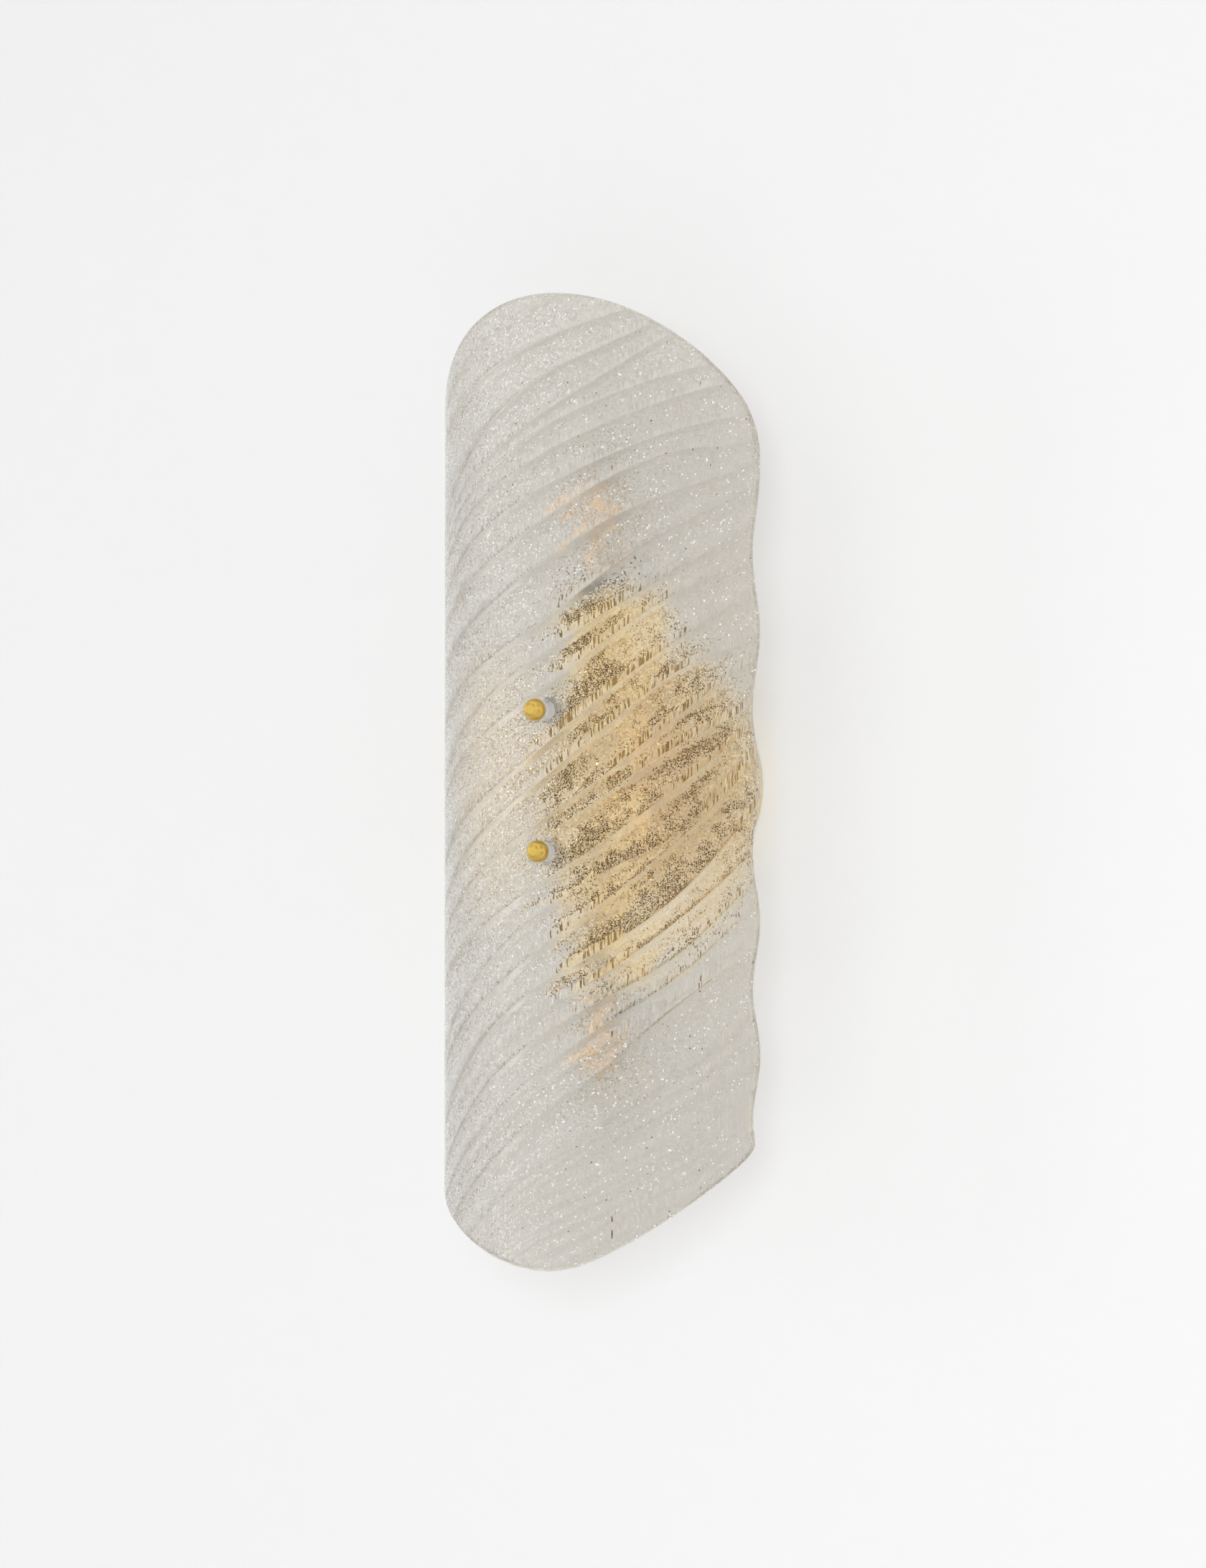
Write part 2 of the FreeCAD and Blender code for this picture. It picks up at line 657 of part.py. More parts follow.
def make_holder(name):
    # lampholder body: it slides in the tube's end up to its rim and holds the screw shell
    body_radius = tube_inner - fit
    rim_radius = tube_dia / 2
    bore = shell_dia / 2 + fit
    top = tube_half + holder_rim
    bead = 1.0
    points = [(0, holder_low), (body_radius, holder_low), (body_radius, tube_half), (rim_radius, tube_half),
              (rim_radius, top - bead), (rim_radius - bead, top), (bore, top), (bore, shell_low), (0, shell_low)]
    body = turned(name, points, "XZ_Plane")
    lead_holes = [(lead_side, 0, lead_dia + fit * 2), (-lead_side, 0, lead_dia + fit * 2)]
    sketch_cut(body, name, lead_holes)
    drill_recess(body, name)
    move(body, y=-tube_axis)
    return body


def sketch_cut(body, name, circles):
    # blind holes up into the lampholder's floor, where the leads end
    doc.recompute()
    before = body.Shape.Volume
    sketch = new_sketch(body, name + "_leads_profile", "XY_Plane")
    sketch.AttachmentOffset = Placement(Vector(0, 0, number(holder_low)), Rotation())
    sketch.setExpression("AttachmentOffset.Base.z", holder_low.text)
    for circle in circles:
        add_circle(sketch, *circle)
    pocket = body.newObject("PartDesign::Pocket", name + "_leads")
    pocket.Profile = sketch
    bind(pocket, "Length", lead_grip)
    pocket.Reversed = True
    doc.recompute()
    if not body.Shape.Volume < before - 1e-6:
        raise ValueError("%s lead holes cut nothing" % name)


def drill_recess(body, name):
    # the recess at the back into which the grub screw goes
    depth = tube_dia / 2 - grub_length - slack
    doc.recompute()
    before = body.Shape.Volume
    sketch = new_sketch(body, name + "_recess_profile", "XZ_Plane")
    sketch.AttachmentOffset = Placement(Vector(0, 0, -number(depth)), Rotation())
    sketch.setExpression("AttachmentOffset.Base.z", (-depth).text)
    add_circle(sketch, 0, grub_place, grub_dia + fit * 2)
    pocket = body.newObject("PartDesign::Pocket", name + "_recess")
    pocket.Profile = sketch
    bind(pocket, "Length", tube_dia)
    doc.recompute()
    if not 1 < before - body.Shape.Volume < 40:
        raise ValueError("%s recess is wrong" % name)


lead_side = size("lead_side", 6.5, "leads beside the studs inside the tube")
lead_grip = size("lead_grip", 5.0, "lead end inside the lampholder")


def make_screw_shell(name):
    # thin drawn shell with an inturned foot, in which the bulb's base turns
    outer = shell_dia / 2
    inner = outer - shell_wall
    foot = contact_clear
    top = tube_half + holder_rim - slack * 2
    points = [(foot, shell_low), (outer, shell_low), (outer, top), (inner, top),
              (inner, shell_low + shell_wall), (foot, shell_low + shell_wall)]
    body = turned(name, points, "XZ_Plane")
    move(body, y=-tube_axis)
    return body


contact_clear = size("contact_clear", 4.8, "radius left open round the contact strip")
contact_width = size("contact_width", 3.6, "width of the contact strip")


def make_contact(name):
    # springy strip on the lampholder's floor, bent up under the bulb's tip
    half = contact_width
    low = shell_low
    rise = contact_rise
    points = [(-half, low), (half - contact_thick, low), (half, low + contact_thick * 0.5), (half, low + contact_thick),
              (-half + contact_thick, low + contact_thick), (-half + contact_thick, low + rise - contact_thick),
              (half * 0.5, low + rise - contact_thick), (half * 0.5, low + rise), (-half, low + rise)]
    body = padded(name, contact_width, [points], middle=True)
    move(body, y=-tube_axis)
    return body


def make_bulb_tip(name):
    # the soldered tip under the bulb's insulator
    tip = tip_dia / 2
    low = base_low - insulator_length - tip_length
    points = [(0, low), (tip - 0.6, low), (tip, low + 0.5), (tip, low + tip_length), (0, low + tip_length)]
    body = turned(name, points, "XZ_Plane")
    move(body, y=-tube_axis)
    return body


def make_bulb_insulator(name):
    # dark glass cone between tip and base
    tip = tip_dia / 2
    low = base_low - insulator_length
    points = [(0, low), (tip + 0.4, low), (base_dia / 2 - 0.5, base_low), (0, base_low)]
    body = turned(name, points, "XZ_Plane")
    move(body, y=-tube_axis)
    return body


def make_bulb_base(name):
    # nickelled screw base, thin and open at the top, where the globe is cemented in
    outer = base_dia / 2
    sheet_wall = shell_wall
    points = [(0, base_low), (outer - 0.6, base_low), (outer, base_low + 0.6), (outer, globe_low),
              (outer - sheet_wall, globe_low), (outer - sheet_wall, base_low + sheet_wall + 0.6),
              (0, base_low + sheet_wall + 0.6)]
    body = turned(name, points, "XZ_Plane")
    move(body, y=-tube_axis)
    return body


def make_globe(name):
    # candle-shaped glass envelope: neck, full belly and a blunt tip, from one smooth curve each side
    neck = number(base_dia) / 2 - number(shell_wall) - number(fit)
    belly = number(bulb_dia) / 2
    length = number(bulb_length)
    wall = number(bulb_wall)
    sink = number(base_length) / 4
    low = number(globe_low)
    shape = [(neck, 0.0), (neck, 0.10), (belly * 0.86, 0.20), (belly * 1.085, 0.44), (belly * 0.82, 0.75)]

    def curve(inset):
        poles = [Vector(radius - inset, 0, low + share * length) for radius, share in shape]
        poles.append(Vector((belly - inset) * 0.42, 0, low + length - inset))
        poles.append(Vector(0, 0, low + length - inset))
        knots = len(poles) - 3
        spline = Part.BSplineCurve()
        spline.buildFromPolesMultsKnots(poles, [4] + [1] * (knots - 1) + [4], list(range(knots + 1)), False, 3)
        return spline.toShape()

    outer = curve(0)
    inner = curve(wall)
    foot = low - sink
    lines = [((0, low + length - wall), (0, low + length)), ((neck, low), (neck, foot)),
             ((neck, foot), (neck - wall, foot)), ((neck - wall, foot), (neck - wall, low))]
    edges = [outer, inner] + [Part.makeLine(Vector(a[0], 0, a[1]), Vector(b[0], 0, b[1])) for a, b in lines]
    wire = Part.Wire(Part.__sortEdges__(edges))
    solid = Part.Face(wire).revolve(Vector(0, 0, 0), Vector(0, 0, 1), 360)
    globe = doc.addObject("Part::Feature", name)
    globe.Shape = solid
    move(globe, y=-tube_axis)
    return globe


def make_mount(name):
    # the bulb's inner glass: a flare sealed in the neck, then a rod up to the top wires
    neck = base_dia / 2 - shell_wall - fit - bulb_wall
    foot = globe_low - base_length / 4
    shoulder = globe_low + filament_start - 3
    rod = mount_rod / 2
    top = globe_low + filament_start + filament_length + 3
    points = [(0, foot), (neck, foot), (neck, foot + 1), (rod * 1.6, shoulder - 4), (rod * 1.6, shoulder),
              (rod, shoulder + 1), (rod, top - 1), (rod - 0.6, top), (0, top)]
    body = turned(name, points, "XZ_Plane")
    move(body, y=-tube_axis)
    return body


mount_rod = size("mount_rod", 3.0, "glass rod in the bulb")


def filament_places():
    # four filaments on a circle, turned off the axes
    radius = number(filament_circle) / 2
    return [(radius * math.cos(turn), radius * math.sin(turn))
            for turn in (math.radians(45 + 90 * step) for step in range(4))]


def make_filaments(name):
    # four separate glowing rods
    low = number(globe_low) + number(filament_start)
    rods = [Part.makeCylinder(number(filament_dia) / 2, number(filament_length), Vector(x, y, low))
            for x, y in filament_places()]
    group = doc.addObject("Part::Feature", name)
    group.Shape = Part.makeCompound(rods)
    move(group, y=-tube_axis)
    return group


def make_support_wires(name):
    # a star of wires at each end of the filaments, welded round the glass rod
    low = number(globe_low) + number(filament_start)
    high = low + number(filament_length)
    radius = number(wire_dia) / 2
    rod = number(mount_rod) / 2
    stars = []
    for level in (low - radius, high + radius):
        collar = Part.makeCylinder(rod + 2 * radius, 2 * radius, Vector(0, 0, level - radius))
        collar = collar.cut(Part.makeCylinder(rod, 4 * radius, Vector(0, 0, level - 2 * radius)))
        star = collar
        for x, y in filament_places():
            reach = math.hypot(x, y)
            start = Vector(x, y, 0) * ((rod + radius) / reach)
            arm = Part.makeBox(reach - rod - radius + radius, 2 * radius, 2 * radius, Vector(0, -radius, -radius))
            arm.Placement = Placement(start + Vector(0, 0, level),
                                      Rotation(Vector(0, 0, 1), math.degrees(math.atan2(y, x))))
            star = star.fuse(arm)
        stars.append(star.removeSplitter())
    group = doc.addObject("Part::Feature", name)
    group.Shape = Part.makeCompound(stars)
    move(group, y=-tube_axis)
    return group


def route_radius(first, corner, last):
    # as large an arc as the two runs allow
    run_in = corner - first
    run_out = last - corner
    turn = run_in.getAngle(run_out)
    return 0.45 * min(run_in.Length, run_out.Length) / math.tan(turn / 2)


def lead_solid(points):
    # straight runs joined by tangent arcs, then a round section swept along them
    edges = []
    start = points[0]
    radii = []
    for first, corner, last in zip(points, points[1:], points[2:]):
        run_in = (corner - first).normalize()
        run_out = (last - corner).normalize()
        turn = run_in.getAngle(run_out)
        radius = route_radius(first, corner, last)
        radii.append(radius)
        reach = radius * math.tan(turn / 2)
        enter = corner - run_in * reach
        leave = corner + run_out * reach
        inward = (run_out - run_in).normalize()
        middle = corner + inward * (radius / math.cos(turn / 2) - radius)
        edges.append(Part.LineSegment(start, enter).toShape())
        edges.append(Part.Arc(enter, middle, leave).toShape())
        start = leave
    edges.append(Part.LineSegment(start, points[-1]).toShape())
    path = Part.Wire(edges)
    section = Part.Wire(Part.makeCircle(number(lead_dia) / 2, points[0], points[1] - points[0]))
    solid = path.makePipeShell([section], True, False)
    share = solid.Volume / (math.pi * number(lead_dia) ** 2 / 4 * path.Length)
    print("lead length %.1f, least radius %.1f, volume share %.4f" % (path.Length, min(radii), share))
    return solid


def lamp_lead_route(side, up, exit_x):
    # from a lampholder down beside the stud, through the stem and into a connector in the plate
    axis = -number(tube_axis)
    beside = side * number(lead_side)
    inner = number(lead_dia) / 2 + 0.35
    start = number(holder_low) + number(lead_grip)
    front = axis - 3.0
    rear = -number(stem_rear)
    points = [(beside, axis, start), (beside, axis, start - 16), (beside * 0.95, front, 24),
              (beside * 0.6, front, 12.5), (side * inner, front + 6.5, inner + 0.6), (side * inner, axis + 16, inner),
              (side * inner, rear + 1.0, inner), (side * (inner + 4.5), rear + 5.0, inner),
              (exit_x * 0.7, rear + 4.6, 1.15), (exit_x + side * 3, rear + 4.6, 1.15)]
    return [Vector(x, y, z * up) for x, y, z in points]


def make_leads():
    # live leads on the right, neutral leads on the left, and the ground lead from its screw
    reach = number(bar_width) / 2 + 14
    live = [lead_solid(lamp_lead_route(1, up, reach)) for up in (1, -1)]
    neutral = [lead_solid(lamp_lead_route(-1, up, -reach)) for up in (1, -1)]
    for name, solids in (("live_leads", live), ("neutral_leads", neutral)):
        group = doc.addObject("Part::Feature", name)
        group.Shape = Part.makeCompound(solids)
        add_part(group, name)
    depth = -number(bar_thick) - number(lead_dia) / 2
    place = number(ground_place)
    beside = number(stud_dia) / 2 + number(lead_dia) / 2 + 0.1
    ground = [(beside, depth, place - 4), (beside, depth, place + 8.2), (9.0, depth - 4.0, place + 11),
              (20.0, depth - 5.0, place + 11), (27.0, depth - 5.0, place + 11)]
    feature = doc.addObject("Part::Feature", "ground_lead")
    feature.Shape = lead_solid([Vector(*point) for point in ground])
    add_part(feature, "ground_lead")


def rib_rise_at(height):
    # how steeply a rib climbs to the right where it crosses the centre line at this height
    above = height + number(rib_steepest)
    reach = number(rib_reach_up) if above > 0 else number(rib_reach_down)
    share = max(-1.1, min(1.1, above / reach))
    return number(rib_rise) - number(rib_fall) * share * share


def rib_bend_at(height):
    # the ribs near the top flatten to the right
    share = min(max((height - number(rib_bend_start)) / number(rib_bend_reach), 0), 1)
    return share * share * (3 - 2 * share) / number(rib_bend_radius)


def rib_height_at(along, height):
    # height of a rib at a place along the bend, for the rib that crosses the centre line at height
    return height + rib_rise_at(height) * along - rib_bend_at(height) * along * along / 2


def centre_height(along, z):
    # the other way round: where the rib through a point crosses the centre line
    height = z
    for step in range(40):
        height = z - rib_rise_at(height) * along + rib_bend_at(height) * along * along / 2
    return height


def crest_height(rib):
    # centre line height of rib number rib; the ribs are unevenly spaced
    drift = number(rib_drift) * math.sin(rib / 2.1 + 0.6)
    return number(rib_pitch) * rib + drift + number(rib_jitter) * math.sin(rib / 0.83 + 2)


def rib_number(height):
    rib = height / number(rib_pitch)
    for step in range(60):
        rib -= 0.5 * (crest_height(rib) - height) / number(rib_pitch)
    return rib


def even_places(count):
    # places of a cubic surface's poles at which its parameter stays even
    knots = [0] * 3 + list(range(count - 2)) + [count - 3] * 3
    return [sum(knots[index + 1:index + 4]) / 3 / (count - 3) for index in range(count)]


class GlassSheet:
    # the bent sheet before its outline is cut; its two parameters are rib number and place along the bend
    rib_span = 34
    columns = 13

    def __init__(self):
        self.side_span = number(shade_side) * 1.16

    def surface(self, radius, relief, rows):
        ribs = [self.rib_span * (2 * share - 1) for share in even_places(rows)]
        places = [self.side_span * (2 * share - 1) for share in even_places(self.columns)]
        step = 2 * self.side_span / (self.columns - 3) / number(shade_radius)
        fuller = 3 / (2 + math.cos(step))
        poles = []
        for rib in ribs:
            crest = 0.5 + 0.5 * math.cos(2 * math.pi * rib)
            reach = (radius - relief * (1 - crest)) * fuller
            poles.append([self.pole(along, reach, rib) for along in places])
        surface = Part.BSplineSurface()
        surface.buildFromPolesMultsKnots(
            poles, [4] + [1] * (rows - 4) + [4], [4] + [1] * (self.columns - 4) + [4],
            [2 * self.rib_span * place / (rows - 3) for place in range(rows - 2)],
            [float(place) for place in range(self.columns - 2)], False, False, 3, 3)
        return surface

    def pole(self, along, reach, rib):
        turn = along / number(shade_radius)
        return Vector(reach * math.sin(turn), -number(shade_axis) - reach * math.cos(turn),
                      rib_height_at(along, crest_height(rib)))

    def parameters(self, along, z):
        rib = rib_number(centre_height(along, z))
        share = (along + self.side_span) / (2 * self.side_span)
        return FreeCAD.Base.Vector2d(rib + self.rib_span, share * (self.columns - 3))


def side_place(z):
    # where the wavy side edge lies at height z, along the bend
    turns = z / number(wave_pitch) - (z / number(wave_growth)) ** 2
    return number(shade_side) + number(wave_height) * math.cos(2 * math.pi * turns)


def top_edge(steps=60):
    # a low parabola, rounded over at both corners
    side = side_place(number(top_corner))
    drop = number(top_drop) / number(shade_side) ** 2
    corner = number(shade_height) / 2 - drop * side * side - number(top_corner)
    points = []
    for step in range(steps + 1):
        share = math.sin(math.pi * (step / steps - 0.5))
        rounding = corner * (1 - math.sqrt(max(0, 1 - abs(share) ** 24)))
        points.append((side * share, number(shade_height) / 2 - drop * (side * share) ** 2 - rounding))
    return points


def bottom_edge(steps=60):
    # a blunt nose that runs straight up to both sides, steeper on the right
    side = side_place(-number(low_corner))
    points = []
    for step in range(steps + 1):
        share = math.sin(math.pi * (step / steps - 0.5))
        rise, blunt = (0.72, number(nose_right)) if share > 0 else (0.50, number(nose_left))
        climb = math.hypot(rise * side * share, blunt) - blunt
        corner = number(shade_height) / 2 - number(low_corner) - (math.hypot(rise * side, blunt) - blunt)
        rounding = corner * (1 - math.sqrt(max(0, 1 - abs(share) ** 40)))
        points.append((side * share, -number(shade_height) / 2 + climb + rounding))
    return points


def side_edge(sign, steps=40):
    low, high = -number(low_corner), number(top_corner)
    heights = [low + (high - low) * step / steps for step in range(steps + 1)]
    return [(sign * side_place(z), z) for z in heights]


def shade_outline():
    top = top_edge()
    bottom = bottom_edge()
    return [bottom, side_edge(1), top[::-1], side_edge(-1)[::-1]]


def outline_edges(sheet_form, surface):
    # the outline laid on one face of the glass
    edges = []
    for points in shade_outline():
        curve = Part.Geom2d.BSplineCurve2d()
        curve.interpolate([sheet_form.parameters(along, z) for along, z in points])
        edges.append(curve.toShape(surface))
    return edges


def make_shade():
    # bent glass: ribbed in front, smooth behind, with two spot-faced holes
    form = GlassSheet()
    relief = number(rib_height) * 1.3
    inner_radius = number(shade_radius) - number(rib_height) - number(glass_thick)
    outer = form.surface(number(shade_radius), relief, 207)
    inner = form.surface(inner_radius, 0, 14)
    outer_edges = outline_edges(form, outer)
    inner_edges = outline_edges(form, inner)
    faces = [Part.Face(outer, Part.Wire(outer_edges)), Part.Face(inner, Part.Wire(inner_edges))]
    faces += [Part.makeRuledSurface(a, b) for a, b in zip(outer_edges, inner_edges)]
    shell = Part.makeShell(faces)
    shell.sewShape()
    glass = Part.Solid(shell)
    back = number(shade_axis) + inner_radius
    reach = 2 * number(glass_thick + collar_dia)
    for seat, sign in ((upper_seat, 1), (lower_seat, -1)):
        front = number(seat) + reach
        place = sign * number(stud_place)
        cuts = ((glass_hole / 2, -front, reach * 2), (collar_dia / 2 + 1, -front, reach),
                (washer_dia / 2 + 0.5, -back + number(seat_cut), reach))
        for radius, start, depth in cuts:
            cutter = Part.makeCylinder(number(radius), depth, Vector(0, start, place), Vector(0, 1, 0))
            glass = glass.cut(cutter)
    shade = doc.addObject("Part::Feature", "shade")
    shade.Shape = glass
    add_part(shade, "shade")


def make_connectors():
    # twist-on caps: live on the right, neutral on the left, ground above
    reach = number(bar_width) / 2 + 14
    depth = -number(stem_rear) + 4.6
    ground_depth = -number(bar_thick) - number(lead_dia) / 2 - 5.0
    places = [(Vector(reach, depth, 0), 1), (Vector(-reach, depth, 0), -1),
              (Vector(24.0, ground_depth, number(ground_place) + 11), 1)]
    group = doc.addObject("Part::Feature", "wire_connectors")
    group.Shape = Part.makeCompound([wire_cap(place, Vector(sign, 0, 0)) for place, sign in places])
    add_part(group, "wire_connectors")


def wire_cap(place, direction):
    # a tapered cap with a socket for two leads
    cap = Part.makeCone(number(cap_dia) / 2, number(cap_dia) / 3, number(cap_length), place, direction)
    socket = Part.makeCylinder(number(lead_dia) + 0.4, 3.0, place, direction)
    return cap.cut(socket)


make_crossbar()
make_ground_screw()
make_backplate()
make_studs()
make_stud_hardware()
make_collars_and_finials()
make_lamp_tube()
make_grub_screws()
make_stem()
make_spacer()
make_saddle_nut()
for piece, maker in (("lampholder", make_holder), ("screw_shell", make_screw_shell), ("contact", make_contact),
                     ("bulb_tip", make_bulb_tip), ("bulb_insulator", make_bulb_insulator),
                     ("bulb_base", make_bulb_base), ("bulb_globe", make_globe), ("bulb_mount", make_mount),
                     ("support_wires", make_support_wires), ("filaments", make_filaments)):
    mirrored_pair(piece, maker)
make_leads()
make_connectors()
make_shade()
doc.recompute()


def check_and_export():
    # nothing is written unless every object and every sub-part is sound
    for obj in doc.Objects:
        if "Invalid" in obj.State or "Error" in obj.State:
            raise ValueError("%s is %s" % (obj.Label, obj.State))
    for part in parts:
        if part.Shape.isNull() or not part.Shape.isValid() or not part.Shape.Solids:
            raise ValueError("%s has no sound shape" % part.Label)
    os.makedirs("parts", exist_ok=True)
    for part in parts:
        part.Shape.exportStep("parts/%s.step" % part.Label)
        box = part.Shape.BoundBox
        print("%-22s %2d solids %11.1f mm3  y %.1f..%.1f  z %.1f..%.1f" % (
            part.Label, len(part.Shape.Solids), part.Shape.Volume, box.YMin, box.YMax, box.ZMin, box.ZMax))


check_and_export()
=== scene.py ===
import bpy
import json
import math
import numpy as np
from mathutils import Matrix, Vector


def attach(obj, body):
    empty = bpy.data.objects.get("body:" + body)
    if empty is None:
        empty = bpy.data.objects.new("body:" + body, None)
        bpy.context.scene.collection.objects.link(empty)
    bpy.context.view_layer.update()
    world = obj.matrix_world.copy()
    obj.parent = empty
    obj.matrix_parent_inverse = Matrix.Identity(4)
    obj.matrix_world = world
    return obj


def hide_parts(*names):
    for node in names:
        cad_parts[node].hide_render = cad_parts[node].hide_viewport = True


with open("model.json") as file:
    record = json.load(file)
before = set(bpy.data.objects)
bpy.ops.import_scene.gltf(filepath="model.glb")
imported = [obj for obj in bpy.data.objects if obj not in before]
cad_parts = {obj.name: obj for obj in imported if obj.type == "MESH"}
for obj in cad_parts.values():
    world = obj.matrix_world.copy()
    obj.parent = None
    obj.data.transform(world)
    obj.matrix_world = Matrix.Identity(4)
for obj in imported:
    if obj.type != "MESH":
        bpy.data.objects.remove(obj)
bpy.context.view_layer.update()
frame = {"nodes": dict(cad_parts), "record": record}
record = frame["record"]
nodes = frame["nodes"]
print("stage 1: frame loaded,", len(nodes), "nodes")


def deselectAll():
    if bpy.context.object and bpy.context.object.mode != "OBJECT":
        bpy.ops.object.mode_set(mode="OBJECT")
    bpy.ops.object.select_all(action="DESELECT")


def activate(obj):
    deselectAll()
    obj.select_set(True)
    bpy.context.view_layer.objects.active = obj


class Shader:
    # a node tree that is written from left to right
    def __init__(self, name):
        self.material = bpy.data.materials.new(name)
        self.material.use_nodes = True
        self.tree = self.material.node_tree
        self.tree.nodes.clear()
        self.output = self.tree.nodes.new("ShaderNodeOutputMaterial")

    def add(self, kind, values=None, **settings):
        node = self.tree.nodes.new("ShaderNode" + kind)
        for key, value in settings.items():
            setattr(node, key, value)
        for key, value in (values or {}).items():
            if isinstance(value, bpy.types.NodeSocket):
                self.tree.links.new(value, node.inputs[key])
            else:
                node.inputs[key].default_value = value
        return node

    def objectPoint(self, scale=(1, 1, 1)):
        place = self.add("TexCoord").outputs["Object"]
        return self.add("Mapping", {"Vector": place, "Scale": scale}).outputs["Vector"]

    def noise(self, point, scale, detail):
        values = {"Vector": point, "Scale": scale, "Detail": detail}
        return self.add("TexNoise", values).outputs["Fac"]

    def attribute(self, name):
        return self.add("Attribute", attribute_name=name).outputs["Fac"]

    def pair(self, x, y):
        return self.add("CombineXYZ", {"X": x, "Y": y}).outputs[0]

    def vector(self, operation, a, b, output=0):
        return self.add("VectorMath", {0: a, 1: b}, operation=operation).outputs[output]

    def math(self, operation, a, b=0.0, clamp=False):
        node = self.add("Math", {0: a, 1: b}, operation=operation)
        node.use_clamp = clamp
        return node.outputs[0]

    def times(self, *values):
        product = values[0]
        for value in values[1:]:
            product = self.math("MULTIPLY", product, value)
        return product

    def rest(self, value):
        # what a share leaves of 1
        return self.math("SUBTRACT", 1.0, value)

    def spread(self, value, low, high, toLow, toHigh):
        return self.add("MapRange", {"Value": value, "From Min": low, "From Max": high,
                                     "To Min": toLow, "To Max": toHigh}).outputs["Result"]

    def blend(self, share, a, b):
        node = self.add("Mix", {"Factor": share}, data_type="RGBA")
        for index, value in ((6, a), (7, b)):
            if isinstance(value, bpy.types.NodeSocket):
                self.tree.links.new(value, node.inputs[index])
            else:
                node.inputs[index].default_value = value
        return node.outputs[2]

    def window(self, value, centre, half, soft):
        # 1 within half of the centre, falling to 0 over the soft edge
        away = self.math("ABSOLUTE", self.math("SUBTRACT", value, centre))
        return self.spread(away, half - soft, half + soft, 1, 0)

    def ellipse(self, across, up, centre, half):
        # 0 at the centre of an ellipse and 1 on its edge
        sideways = self.math("DIVIDE", self.math("SUBTRACT", across, centre[0]), half[0])
        upwards = self.math("DIVIDE", self.math("SUBTRACT", up, centre[1]), half[1])
        return self.math("ADD", self.times(sideways, sideways), self.times(upwards, upwards))

    def bump(self, height, strength, distance):
        values = {"Height": height, "Strength": strength, "Distance": distance}
        return self.add("Bump", values).outputs["Normal"]

    def end(self, surface):
        self.tree.links.new(surface.outputs[0], self.output.inputs["Surface"])
        return self.material

    def finish(self, values):
        return self.end(self.add("BsdfPrincipled", values))

    def finishGlass(self, values, lampShare):
        # light that lamps and matt surfaces send through glass goes straight on, less what the glass keeps
        glass = self.add("BsdfPrincipled", values)
        straight = self.add("BsdfTransparent", {"Color": lampShare})
        path = self.add("LightPath")
        lampRay = self.math("MAXIMUM", path.outputs["Is Shadow Ray"], path.outputs["Is Diffuse Ray"])
        return self.end(self.add("MixShader", {0: lampRay, 1: glass.outputs[0], 2: straight.outputs[0]}))


def grey(level):
    return (level, level, level, 1)


cameraSetup = {
    "azimuth": 27.0,
    "elevation": -1.5,
    "distance": 2.6,
    "target": (0.0, -0.0562, 0.0),
    "lens": 125.25,
}


def makeCamera(setup):
    turn = math.radians(setup["azimuth"])
    rise = math.radians(setup["elevation"])
    flat = math.cos(rise)
    back = np.array([math.sin(turn) * flat, -math.cos(turn) * flat, math.sin(rise)])
    data = bpy.data.cameras.new("camera")
    data.sensor_width = 36
    data.sensor_fit = "AUTO"
    data.lens = setup["lens"]
    data.clip_end = 50
    camera = bpy.data.objects.new("camera", data)
    bpy.context.scene.collection.objects.link(camera)
    camera.location = np.array(setup["target"]) + back * setup["distance"]
    camera.rotation_mode = "QUATERNION"
    camera.rotation_quaternion = Vector(-back).to_track_quat("-Z", "Y")
    bpy.context.scene.camera = camera


makeCamera(cameraSetup)
print("stage 2: camera")


stageSetup = {
    "wallSize": 6.0,
    "wallHeight": 4.0,
    "floorDrop": 1.3,
    "wallColour": (0.905, 0.905, 0.905, 1),
    "behind": 0.0008,
    "seenWorld": 1.0,  # what the camera sees, and gloss and glass see in the bright panels
    "darkWorld": 0.5,
    "panels": 5.0,
    "panelTurn": 3.93,
    "shelves": 7.0,
    "shelfRise": 0.4,
    "shelfShare": 0.8,
    "gap": -0.75,
    "gapEdge": 0.25,
    "litWorld": 0.24,  # what lights the object
}

# azimuth from the wall's normal to the right, elevation, distance, width, height and power
lampSetup = {
    "keyLight": (20, 4, 4.2, 1.30, 1.30, 99),
    "leftLight": (-58, 3, 2.8, 0.80, 1.30, 13),
    "rightLight": (74, 2, 2.8, 0.90, 1.20, 6),
}


def makePlane(name, size, location, rotation):
    deselectAll()
    bpy.ops.mesh.primitive_plane_add(size=1, location=location, rotation=rotation)
    plane = bpy.context.object
    plane.name = name
    plane.scale = (size[0], size[1], 1)
    bpy.ops.object.transform_apply(location=True, rotation=True, scale=True)
    return plane


def paleWall(name, colour):
    # matt paint that is clear from behind, so that views from the back aren't blocked
    shader = Shader(name)
    matt = {"Base Color": colour, "Roughness": 0.95, "Specular IOR Level": 0.1}
    paint = shader.add("BsdfPrincipled", matt)
    clear = shader.add("BsdfTransparent")
    side = shader.add("NewGeometry").outputs["Backfacing"]
    return shader.end(shader.add("MixShader", {0: side, 1: paint.outputs[0], 2: clear.outputs[0]}))


lampAim = (0, -0.06, 0)


